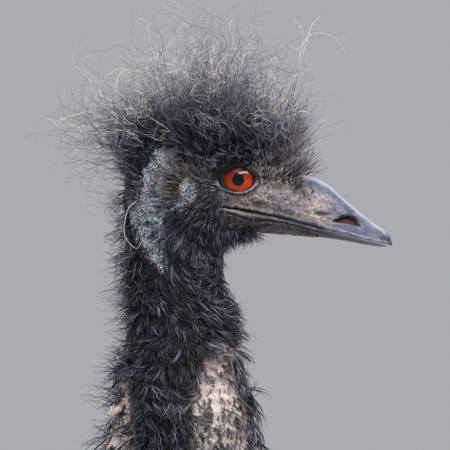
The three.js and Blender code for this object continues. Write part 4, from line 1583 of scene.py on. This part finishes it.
def grow_head_coat(skin, sizes):
    """The short feathers of the crown, cheeks and forehead, and the bristles."""
    growth, colours = Growth(skin, SEEDS["head"]), bpy.context.scene.emu_colours
    place = lambda points: face_place(points)[::2]
    around = (0.7, 2 * np.pi - 0.7)  # all the way but for the top of the head

    black = black_paint("head_feathers", 0.13, (0.33, 0.27, 0.28))
    down = Coat("crown_down", sizes.strand * 1.15, 3, warm=front_warmth)
    roots = growth.scatter(HEAD_FORM, 15, (0.0, 0.9), (-1.9, 1.9), crown_keep, crown_lie)
    growth.tufts(down, roots, 4, lambda p: sizes.down * (0.5 + 0.5 * above_line(p)), 0.7, 0.3, 0.3)
    down.finish(black, "neck_plumage")

    crown = Coat("crown_feathers", sizes.strand * 0.9, 5, warm=front_warmth)
    roots = growth.scatter(HEAD_FORM, 9, (0.0, 0.9), (-1.9, 1.9), crown_keep, crown_lie)
    size = lambda p: sizes.crown * (0.4 + 0.6 * above_line(p)) * (1 + 1.1 * smooth(16, 42, place(p)[0]))
    lift = lambda p: 0.55 + 0.5 * above_line(p) - 0.42 * smooth(24, 42, place(p)[0])
    growth.tufts(crown, roots, 4, size, lift, 0.15, 0.28)
    crown.finish(black, "neck_plumage")

    brown = black_paint("cheek_feathers", 0.18, (0.33, 0.255, 0.20))
    cheek = Coat("cheek_feathers", sizes.strand * 0.76, 4, warm=ear_warmth)
    roots = growth.scatter(HEAD_FORM, 36, (0.0, 0.68), around, cheek_keep, cheek_lie, reach=0.01)
    low = lambda p: smooth(-18, -40, place(p)[1])
    fan = lambda p: hill(*place(p), (-38, -4), (12, 11))
    size = lambda p: sizes.cheek * (0.7 + 0.8 * low(p) + 0.6 * fan(p) - 0.5 * bare_patches(p))
    lift = lambda p: 0.22 + 0.2 * low(p) + 0.2 * smooth(-30, -22, place(p)[0])
    growth.tufts(cheek, roots, 2, size, lift, 0.2, 0.1, curl=0.2)
    over_ear = lambda p: ear_warmth(p) * (1 - 0.9 * bare_patches(p)) * smooth(-30, -20, place(p)[1])
    roots = growth.scatter(HEAD_FORM, 26, (0.0, 0.68), around, over_ear, cheek_lie)
    growth.tufts(cheek, roots, 2, sizes.cheek * 1.6, 0.2, 0.25, 0.15, curl=0.2)
    cheek.finish(brown, "neck_plumage")

    whites = [shade(colours.pale, factor) for factor in (0.4, 1.5, 1.9, 2.0)]
    white = feather_paint("ear_bristles", *whites, 0.3)
    ear = Coat("ear_bristles", sizes.strand * 0.75, 3)
    for form, along in ((HEAD_FORM, (0.0, 0.6)), (NECK_FORM, (0.8, 1.0))):
        roots = growth.scatter(form, 30, along, around, ear_keep, cheek_lie)
        growth.tufts(ear, roots, 1, sizes.bristle * 0.8, 0.35, 0.2, 0.4)
    ear.finish(white, "neck_plumage")

    greys = (0.003, 0.003, 0.004), (0.010, 0.009, 0.011), (0.06, 0.053, 0.058)
    beige = feather_paint("face_bristles", *greys, (0.72, 0.64, 0.64), 0.42)
    face = Coat("face_bristles", sizes.strand * 0.62, 3)
    up = lambda p: smooth(-14, -3, place(p)[1] - feather_line(place(p)[0]))
    roots = growth.scatter(HEAD_FORM, 46, (0.2, 0.99), (0.2, 2 * np.pi - 0.2), face_keep, face_lie)
    growth.tufts(face, roots, 1, lambda p: sizes.bristle * (0.6 + 0.9 * up(p)), 0.25, 0.0, 0.12, curl=0.1)
    face.finish(beige, "neck_plumage")

    front = Coat("forehead_feathers", sizes.strand * 0.85, 5, warm=front_warmth)
    roots = growth.scatter(HEAD_FORM, 24, (0.5, 0.85), (-1.3, 1.3), forehead_keep, crown_lie)
    growth.tufts(front, roots, 3, sizes.crown * 1.15, 0.45, 0.1, 0.25)
    front.finish(black, "neck_plumage")


# Loose strands that stand clear of the crown: each is a run of places [x, z] from the eyes, in
# millimetres, and a lean out to the side.
STRAYS = (
    ([(-46, 38), (-54, 62), (-58, 76), (-59, 92), (-61, 104), (-66, 107), (-70, 100)], -6),
    ([(-56, 34), (-68, 52), (-79, 55), (-88, 53), (-92, 57), (-91, 67), (-79, 77)], 8),
    ([(-50, 36), (-60, 54), (-74, 58), (-81, 66), (-75, 74), (-62, 73), (-50, 77)], -3),
    ([(28, 22), (37, 51), (42, 61), (42, 71), (40, 80), (43, 95), (40, 103), (36, 107)], -5),
    ([(30, 20), (35, 50), (40, 72), (42, 88), (47, 97), (54, 99), (64, 96), (72, 86)], 5),
    ([(26, 26), (36, 60), (44, 88), (49, 104), (57, 112)], 3),
    ([(-14, 44), (-8, 70), (0, 90), (2, 97), (9, 87), (14, 80), (19, 76), (24, 82), (28, 73),
      (26, 65)], -9),
    ([(20, 34), (30, 52), (35, 62), (38, 70), (34, 64), (26, 62), (22, 72)], -16),
    ([(-22, 44), (-30, 62), (-34, 76), (-28, 83), (-18, 88), (-12, 84), (-16, 78)], -12),
    ([(-64, 26), (-84, 40), (-98, 46), (-110, 44), (-119, 40), (-121, 32)], 6),
    ([(-54, 14), (-58, 8), (-66, -5), (-67, -13), (-73, -20), (-75, -36), (-67, -45), (-63, -38),
      (-66, -30)], -31),
)


def grow_strays(coat, growth):
    """The longest single strands, each with a few fine barbs along its outer half."""
    random = growth.random
    for run, lean in STRAYS:
        share = np.linspace(0, 1, coat.steps + 1)
        path = blended(np.array(run, float), share)
        side = lean * np.minimum(1, share * 4) + 4 * np.sin(share * 5 + lean)
        whole = HEAD + np.stack([path[:, 0], side, path[:, 1]], -1) * MM
        place = np.array([[0.5 + lean / 60, 0.5]])
        coat.add(whole[None], np.array([0.99]), place, np.array([1.4]), np.array([[0.0, 1.0, 0.0]]))
        barbs = 4
        rows = random.integers(coat.steps // 3, coat.steps, barbs)
        start = whole[rows]
        way = unit(whole[rows + 1] - whole[rows] + random.normal(0, 0.0022, (barbs, 3)))
        axis = unit(random.normal(size=(barbs, 3)) * [0.4, 1, 0.4])
        path = [start]
        for _ in range(coat.steps):
            path.append(path[-1] + way * (random.uniform(4, 9, (barbs, 1)) * MM / coat.steps))
            way = turned(way, axis, np.full(barbs, 1.6 / coat.steps))
        tones, widths = np.full(barbs, 0.99), np.full(barbs, 0.55)
        coat.add(np.stack(path, 1), tones, np.repeat(place, barbs, 0), widths, axis)


def crest_keep(points):
    x, _, z = face_place(points)
    return crown_keep(points) * smooth(10, 26, z - feather_line(x) + 12) * smooth(36, 26, x)


def nape_keep(points):
    x, _, z = face_place(points)
    return smooth(-48, -60, x) * smooth(-62, -46, z) * (1 - 0.9 * bare_patches(points))


def grow_crest(skin, sizes):
    """The loose curling strands over the crown and behind it."""
    growth, colours = Growth(skin, SEEDS["crest"]), bpy.context.scene.emu_colours
    grey_and_glint = lambda factor: shade(colours.grey_and_glint, factor)
    paint = feather_paint("crest_wisps", colours.black, grey_and_glint(0.55), grey_and_glint(1.7), colours.straw, 0.2)
    ahead = [-75, -55, -38, -18, 4, 24, 46]  # places from the eyes at which their lengths are given
    tall = lambda shares: lambda p: sizes.wisp * np.interp(face_place(p)[0], ahead, shares)
    wisps = Coat("crest_wisps", sizes.strand * 0.66, 30)
    roots = growth.scatter(HEAD_FORM, 1.0, (0.0, 0.88), (-1.1, 1.1), crest_keep, crown_lie, FAR)
    size = tall([0.7, 0.62, 0.78, 1.0, 0.85, 0.62, 0.62])
    growth.curls(wisps, roots, 3, size, 1.2, 0.26, 0.6, (10, 22), 0.3, up=0.4)
    grow_strays(wisps, growth)
    wisps.finish(paint, "neck_plumage")

    frizz = Coat("crest_frizz", sizes.strand * 0.6, 24)
    roots = growth.scatter(HEAD_FORM, 7.4, (0.0, 0.88), (-0.95, 0.95), crest_keep, crown_lie)
    size = tall([0.6, 0.6, 0.78, 1.0, 0.88, 0.6, 0.55])
    growth.curls(frizz, roots, 2, size, 1.15, 0.42, 0.8, (10, 22), 0.3, up=0.5)
    frizz.finish(paint, "neck_plumage")

    paint = feather_paint("nape_wisps", colours.black, grey_and_glint(0.4), colours.grey_and_glint, colours.straw, 0.09)
    nape = Coat("nape_wisps", sizes.strand * 0.6, 24)
    roots = growth.scatter(HEAD_FORM, 8, (0.0, 0.3), (-2.0, 2.0), nape_keep, crown_lie)
    growth.curls(nape, roots, 2, sizes.wisp * 0.7, 0.9, 0.3, 0.6, (14, 30))
    nape.finish(paint, "neck_plumage")


def grow_neck_coat(skin, sizes):
    """The curved feathers of the upper neck, and the curls down the nape."""
    growth = Growth(skin, SEEDS["neck"])
    black = black_paint("neck_feathers", 0.10, (0.46, 0.39, 0.36))
    warm = lambda p: 0.75 * lower_folds(p) * smooth(-60, -45, face_place(p)[0])
    upper = Coat("neck_feathers_upper", sizes.strand * 1.12, 4, warm=warm)
    throat = lambda p: hill(*face_place(p)[::2], (4, -84), (26, 25))
    length = lambda p: 0.88 + 0.55 * smooth(-60, -160, face_place(p)[2]) + 0.35 * throat(p)
    size = lambda p: sizes.neck * length(p) * (1 - 0.4 * lower_folds(p))
    lift = lambda p: 0.38 + 0.62 * throat(p)
    roots = growth.scatter(NECK_FORM, 12, (0.52, 1.0), (0, 2 * np.pi), neck_keep, neck_lie)
    swirl = lambda p: wander(p, 30, 31) * 1.8
    growth.tufts(upper, roots, 4, size, lift, 1.2, 0.2, swirl, curl=0.6)
    upper.finish(black, "neck_plumage")
    nape = Coat("nape_curls", sizes.strand * 0.85, 12)
    dense = lambda p: (1 - 0.8 * lower_folds(p)) * (1 - 0.93 * bare_patches(p))
    behind = lambda p: smooth(-50, -68, face_place(p)[0]) * dense(p)
    roots = growth.scatter(NECK_FORM, 6, (0.52, 1.0), (-1.4, 1.4), behind, neck_lie)
    growth.curls(nape, roots, 3, sizes.wisp * 0.21, 0.75, 0.3, 0.6, loose=0.22)
    nape.finish(black, "neck_plumage")


def grow_body_coat(skin, sizes):
    """The drooping feathers of the lower neck, body, rump and thighs."""
    growth, colours = Growth(skin, SEEDS["body"]), bpy.context.scene.emu_colours
    brown = lambda factor: shade(colours.brown, factor)
    dark = black_paint("lower_neck_feathers", 0.04, brown(0.9))
    paint = feather_paint("body_feathers", brown(0.8), colours.brown, brown(0.45), brown(1.9), 0.07)
    everywhere = lambda p: np.ones(len(p))
    around = (0, 2 * np.pi)

    def cover(coat, form, density, *part, size, lift, fan=0.2, fall=1.0, columns=WHOLE, bend=0.3, gather=4):
        """Covers a part of a form with pairs of strands. Part is its shares, angles and lie."""
        along, angle, lie = part
        roots = growth.scatter(form, density, along, angle, everywhere, lie, FAR, columns)
        growth.tufts(coat, roots, 2, size, lift, bend, fan, fall=fall, gather=gather)

    low = lambda p: smooth(-260, -560, face_place(p)[2])
    lower = Coat("neck_feathers_lower", sizes.blade * 0.55, 4, flat=0.5, warm=low)
    size = lambda p: sizes.lower_neck * (0.45 + 0.55 * smooth(-180, -600, face_place(p)[2]))
    part = (0.0, 0.56), around, neck_lie
    cover(lower, NECK_FORM, 1.6, *part, size=size, lift=0.3, fall=0.5, gather=2)
    lower.finish(dark, "neck_plumage")

    body = Coat("body_feathers", sizes.blade, 5, flat=0.4)
    flank = sizes.flank
    cover(body, TORSO_FORM, 0.6, WHOLE, around, flank_lie, size=flank, lift=0.16, fan=0.16, fall=1.5)
    cover(body, TORSO_FORM, 0.9, WHOLE, (-0.3, 0.3), flank_lie, size=flank * 0.8, lift=0.14)
    cover(body, BREAST_FORM, 1.5, WHOLE, (-1.4, 1.4), hanging_lie, size=flank * 0.65, lift=0.22)
    cover(body, TORSO_FORM, 0.9, (0.8, 1.0), around, flank_lie, size=flank * 0.5, lift=0.14, fall=1.2)
    for _, side in SIDES:
        cover(body, wing_form(side), 2.0, WHOLE, around, down_lie, size=flank * 0.55, lift=0.15)
    body.finish(paint, "body_plumage")

    tail = Coat("tail_feathers", sizes.blade * 1.1, 6, flat=0.4)
    cover(tail, TAIL_FORM, 1.6, WHOLE, around, down_lie, size=sizes.tail, lift=0.4, fall=1.8)
    tail.finish(paint, "body_plumage")

    thigh = Coat("thigh_feathers", sizes.blade * 0.7, 4, flat=0.45)
    part = (0.2, 0.97), around, lambda *place: -down_lie(*place)
    given = {"size": sizes.thigh, "lift": 0.28, "fall": 0.6, "bend": 0.25, "gather": 2}
    for half, (_, side) in zip(((0.0, 0.5), (0.5, 1.0)), SIDES):
        form = leg_form(THIGH_STATIONS, side, 0.35)
        cover(thigh, form, 1.4, *part, columns=half, **given)
    thigh.finish(paint, "body_plumage")


def tarsus_seats(side):
    """Seats down one tarsus: broad plates down the front and small ones round the rest.

    Each is the plate's middle, the ways out and down the leg, and its half sizes."""
    form, front, rows, columns = leg_form(TARSUS_STATIONS, side, 0.8), math.pi, 44, 9
    seats = []
    for row in range(rows):
        along = 0.04 + 0.92 * row / rows
        plates = [(front, (11, 5.8, 1.3))]
        for column in range(columns):
            turn = (column + 0.5 * (row % 2) + 0.25) / (columns + 0.5)
            plates.append((front + 0.62 + (2 * math.pi - 1.24) * turn, (5.0, 4.9, 0.9)))
        for angle, half in plates:
            run = form.at(along + 0.01, angle) - form.at(along - 0.01, angle)
            level = form.at(along, angle + 0.02) - form.at(along, angle - 0.02)
            seats.append((form.at(along, angle), unit(np.cross(level, run)), unit(run), half))
    return seats


def toe_seats(name, side):
    """Seats along the tops of the toes of one foot."""
    seats = []
    for _, turn, reach, slim in TOES:
        count = int((reach - 18) / 6)
        cos, sin = math.cos(math.radians(side * turn)), math.sin(math.radians(side * turn))
        for share in np.arange(count) / count:
            x, high = 24 + (reach - 26) * share, 27.5 - 7.5 * share
            for y, tilt, half in TOE_PLATES:
                spot = np.array([[x, y * (1 - 0.25 * share), high - abs(y) * 0.42]]) * MM
                placed, _ = turned_toe((spot, []), name, side * turn, slim)
                out = (-math.sin(tilt) * sin, math.sin(tilt) * cos, math.cos(tilt))
                seats.append((placed[0], out, (cos, sin, -0.07), half))
    return seats


def plates_tree(material):
    """Geometry Nodes that lay a rounded plate on each face of a mesh of seats."""
    tree = bpy.data.node_groups.new("lay_plates", "GeometryNodeTree")
    tree.interface.new_socket("Seats", in_out="INPUT", socket_type="NodeSocketGeometry")
    for name, default in (("Swell", 1.0), ("Uneven", 0.12)):
        made = tree.interface.new_socket(name, in_out="INPUT", socket_type="NodeSocketFloat")
        made.default_value = default
    tree.interface.new_socket("Plates", in_out="OUTPUT", socket_type="NodeSocketGeometry")

    def node(kind, settings=None, values=None):
        return add_node(tree, kind, settings, values)

    def number(operation, first, second):
        return node("ShaderNodeMath", {"operation": operation}, {0: first, 1: second}).outputs[0]

    def named(name):
        values = {"data_type": "FLOAT_VECTOR"}, {0: name}
        return node("GeometryNodeInputNamedAttribute", *values).outputs[0]

    given = node("NodeGroupInput")
    seats = node("GeometryNodeMeshToPoints", {"mode": "FACES"}, {0: given.outputs["Seats"]}).outputs[0]
    plate = node("GeometryNodeMeshUVSphere", {}, {"Segments": 12, "Rings": 6, "Radius": 1.0}).outputs[0]
    upright = node("FunctionNodeAlignRotationToVector", {"axis": "Z"}, {"Vector": named("out")}).outputs[0]
    settings = {"axis": "Y", "pivot_axis": "Z"}
    values = {"Rotation": upright, "Vector": named("down")}
    laid = node("FunctionNodeAlignRotationToVector", settings, values).outputs[0]
    low = number("SUBTRACT", 1.0, given.outputs["Uneven"])
    high = number("ADD", 1.0, given.outputs["Uneven"])
    chance = node("FunctionNodeRandomValue", {"data_type": "FLOAT"}, {"Min": low, "Max": high, "Seed": 4})
    swell = number("MULTIPLY", chance.outputs[1], given.outputs["Swell"])
    values = {0: named("half"), "Scale": swell}
    scale = node("ShaderNodeVectorMath", {"operation": "SCALE"}, values).outputs[0]
    values = {"Points": seats, "Instance": plate, "Rotation": laid, "Scale": scale}
    laid_out = node("GeometryNodeInstanceOnPoints", {}, values).outputs[0]
    real = node("GeometryNodeRealizeInstances", {}, {0: laid_out}).outputs[0]
    soft = node("GeometryNodeSetShadeSmooth", {}, {0: real}).outputs[0]
    dressed = node("GeometryNodeSetMaterial", {}, {"Geometry": soft, "Material": material}).outputs[0]
    node("NodeGroupOutput", {}, {0: dressed})
    return tree


def build_plates():
    """The plates of both legs, laid by Geometry Nodes on a mesh with one small face at each seat."""
    seats = [seat for name, side in SIDES for seat in tarsus_seats(side) + toe_seats(name, side)]
    middles, outs, downs, halves = (np.array(values) for values in zip(*seats))
    corners = [middles + np.array(step) * MM * 0.1 for step in ((0, 0, 0), (1, 0, 0), (0, 1, 0))]
    points = np.stack(corners, 1).reshape(-1, 3)
    faces = np.arange(len(points)).reshape(-1, 3).tolist()
    mesh = bpy.data.meshes.new("leg_plates")
    mesh.from_pydata([tuple(p) for p in points], [], faces)
    for name, values in (("out", outs), ("down", downs), ("half", halves * MM)):
        attribute = mesh.attributes.new(name, "FLOAT_VECTOR", "FACE")
        attribute.data.foreach_set("vector", values.astype(np.float32).ravel())
    thing = linked("leg_plates", mesh)
    material = plate_paint()
    layer = thing.modifiers.new("lay plates", "NODES")
    layer.node_group = plates_tree(material)
    for item in layer.node_group.interface.items_tree:
        if item.name == "Uneven":
            layer[item.identifier] = 0.14
    applied(thing)
    thing.data.materials.clear()
    thing.data.materials.append(material)
    return thing


def build_stage():
    """A pale floor, soft daylight and a camera level with the head."""
    scene = bpy.context.scene
    scene.view_settings.view_transform = "Standard"
    half = 14.0
    corners = [(-half, -half, 0), (half, -half, 0), (half, half, 0), (-half, half, 0)]
    floor = object_from("floor", np.array(corners), [(0, 1, 2, 3)])
    paint = Paint("pale_floor")
    greys = paint.mix((0.50, 0.50, 0.50), (0.54, 0.54, 0.54), paint.noise(3, 2))
    floor.data.materials.append(paint.finish(greys, 0.8))

    world = bpy.data.worlds.new("studio")
    scene.world = world
    world.use_nodes = True
    world.node_tree.nodes["Background"].inputs[0].default_value = (0.40, 0.41, 0.43, 1)
    world.node_tree.nodes["Background"].inputs[1].default_value = 1.0

    face = Vector(HEAD)
    lamps = (
        ("key", (0.5, -0.58, 0.76), 1.6, (1.9, 0.36), 36),
        ("sky", (0.2, 0.25, 1.0), 1.7, (1.2, 1.0), 24),
        ("rim", (-0.45, 0.8, 0.5), 1.8, (0.9, 0.9), 16),
    )
    sun = bpy.data.lights.new("daylight", "SUN")
    sun.energy, sun.angle = 1.5, math.radians(50)
    linked("daylight", sun).rotation_euler = Vector((0.1, 0.35, -1.0)).to_track_quat("-Z", "Y").to_euler()
    for name, way, far, (wide, high), power in lamps:
        light = bpy.data.lights.new(name, "AREA")
        light.shape = "RECTANGLE"
        light.size, light.size_y, light.energy = wide, high, power
        thing = linked(name, light)
        thing.location = face + Vector(way).normalized() * far
        thing.rotation_euler = (-Vector(way)).to_track_quat("-Z", "Y").to_euler()

    camera = bpy.data.cameras.new("camera")
    seen = 450 * 0.66 * MM  # what the frame takes in, across the head
    away, behind, below = 1.9, 9.0 * MM, 29.6 * MM  # the camera's place from the eyes, in metres
    camera.sensor_width = 36
    camera.lens = camera.sensor_width * (away + EYES["right"][1]) / seen
    thing = linked("camera", camera)
    thing.location = (HEAD[0] - behind, -away, HEAD[2] - below)
    thing.rotation_euler = (math.pi / 2, 0, 0)
    scene.camera = thing


def dressed(thing, slot, *nodes):
    """Rides a piece on the bird, in place of some of its solids."""
    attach(thing, BODY)
    if nodes:
        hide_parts(*nodes)


def nodes_named(*starts):
    return [name for name in frame["nodes"] if name.startswith(starts)]


class EMU_OT_stage(bpy.types.Operator):
    """Add the floor, the lights and the camera"""

    bl_idname = "emu.stage"
    bl_label = "Studio"

    def execute(self, context):
        build_stage()
        return {"FINISHED"}


class EMU_OT_bill(bpy.types.Operator):
    """Add the two halves of the bill"""

    bl_idname = "emu.bill"
    bl_label = "Bill"

    def execute(self, context):
        upper, lower = build_bill()
        dressed(upper, "horn", "bill_upper")
        dressed(lower, "horn", "bill_lower")
        return {"FINISHED"}


class EMU_OT_skin(bpy.types.Operator):
    """Add the skin, from the face to the toes; it needs the bill"""

    bl_idname = "emu.skin"
    bl_label = "Skin"

    def execute(self, context):
        bill = [bpy.data.objects[name] for name in ("bill_upper_horn", "bill_lower_horn")]
        flesh = [name for name in frame["nodes"] if not name.startswith(("bill_", "eye_", "claw_"))]
        dressed(build_skin(bill), "scales", *flesh)
        return {"FINISHED"}


class EMU_OT_eyes(bpy.types.Operator):
    """Add the eyes"""

    bl_idname = "emu.eyes"
    bl_label = "Eyes"

    def execute(self, context):
        wet = eye_paint()
        for name, sign in SIDES:
            eye = build_eye(name, sign)
            eye.data.materials.append(wet)
            dressed(eye, "iris", "eye_" + name)
        return {"FINISHED"}


class EMU_OT_feet(bpy.types.Operator):
    """Add the claws and the plates of the legs and toes"""

    bl_idname = "emu.feet"
    bl_label = "Claws and leg plates"

    def execute(self, context):
        claws = build_claws()
        claws.data.materials.append(claw_paint())
        dressed(claws, "claw", *nodes_named("claw_"))
        dressed(build_plates(), "scales")
        return {"FINISHED"}


class EMU_OT_head_feathers(bpy.types.Operator):
    """Grow the short feathers of the crown and cheeks and the bristles of the face; they need the skin"""

    bl_idname = "emu.head_feathers"
    bl_label = "Head feathers"

    def execute(self, context):
        grow_head_coat(bpy.data.objects["skin"], context.scene.emu_sizes)
        return {"FINISHED"}


class EMU_OT_crest(bpy.types.Operator):
    """Grow the loose curling wisps over the crown; they need the skin"""

    bl_idname = "emu.crest"
    bl_label = "Crest wisps"

    def execute(self, context):
        grow_crest(bpy.data.objects["skin"], context.scene.emu_sizes)
        return {"FINISHED"}


class EMU_OT_neck_feathers(bpy.types.Operator):
    """Grow the curved feathers of the upper neck; they need the skin"""

    bl_idname = "emu.neck_feathers"
    bl_label = "Neck feathers"

    def execute(self, context):
        grow_neck_coat(bpy.data.objects["skin"], context.scene.emu_sizes)
        return {"FINISHED"}


class EMU_OT_body_feathers(bpy.types.Operator):
    """Grow the drooping feathers of the body, rump and thighs; they need the skin"""

    bl_idname = "emu.body_feathers"
    bl_label = "Body feathers"

    def execute(self, context):
        grow_body_coat(bpy.data.objects["skin"], context.scene.emu_sizes)
        return {"FINISHED"}


OPERATORS = (
    EMU_OT_stage,
    EMU_OT_bill,
    EMU_OT_skin,
    EMU_OT_eyes,
    EMU_OT_feet,
    EMU_OT_head_feathers,
    EMU_OT_crest,
    EMU_OT_neck_feathers,
    EMU_OT_body_feathers,
)


class EMU_PT_parts(bpy.types.Panel):
    """Lists the parts of the emu in the order in which they are added"""

    bl_idname = "EMU_PT_parts"
    bl_label = "Emu"
    bl_space_type = "VIEW_3D"
    bl_region_type = "UI"
    bl_category = "Emu"

    def draw(self, context):
        for operator in OPERATORS:
            self.layout.operator(operator.bl_idname)
        for group in (context.scene.emu_sizes, context.scene.emu_colours):
            box = self.layout.box()
            for name in group.__annotations__:
                box.prop(group, name)


CLASSES = (EmuSizes, EmuColours, *OPERATORS, EMU_PT_parts)


def register():
    for item in CLASSES:
        bpy.utils.register_class(item)
    bpy.types.Scene.emu_sizes = PointerProperty(type=EmuSizes)
    bpy.types.Scene.emu_colours = PointerProperty(type=EmuColours)


def unregister():
    del bpy.types.Scene.emu_colours
    del bpy.types.Scene.emu_sizes
    for item in reversed(CLASSES):
        bpy.utils.unregister_class(item)


def main():
    register()
    for operator in OPERATORS:
        group, name = operator.bl_idname.split(".")
        getattr(getattr(bpy.ops, group), name)()


if __name__ == "__main__":
    main()
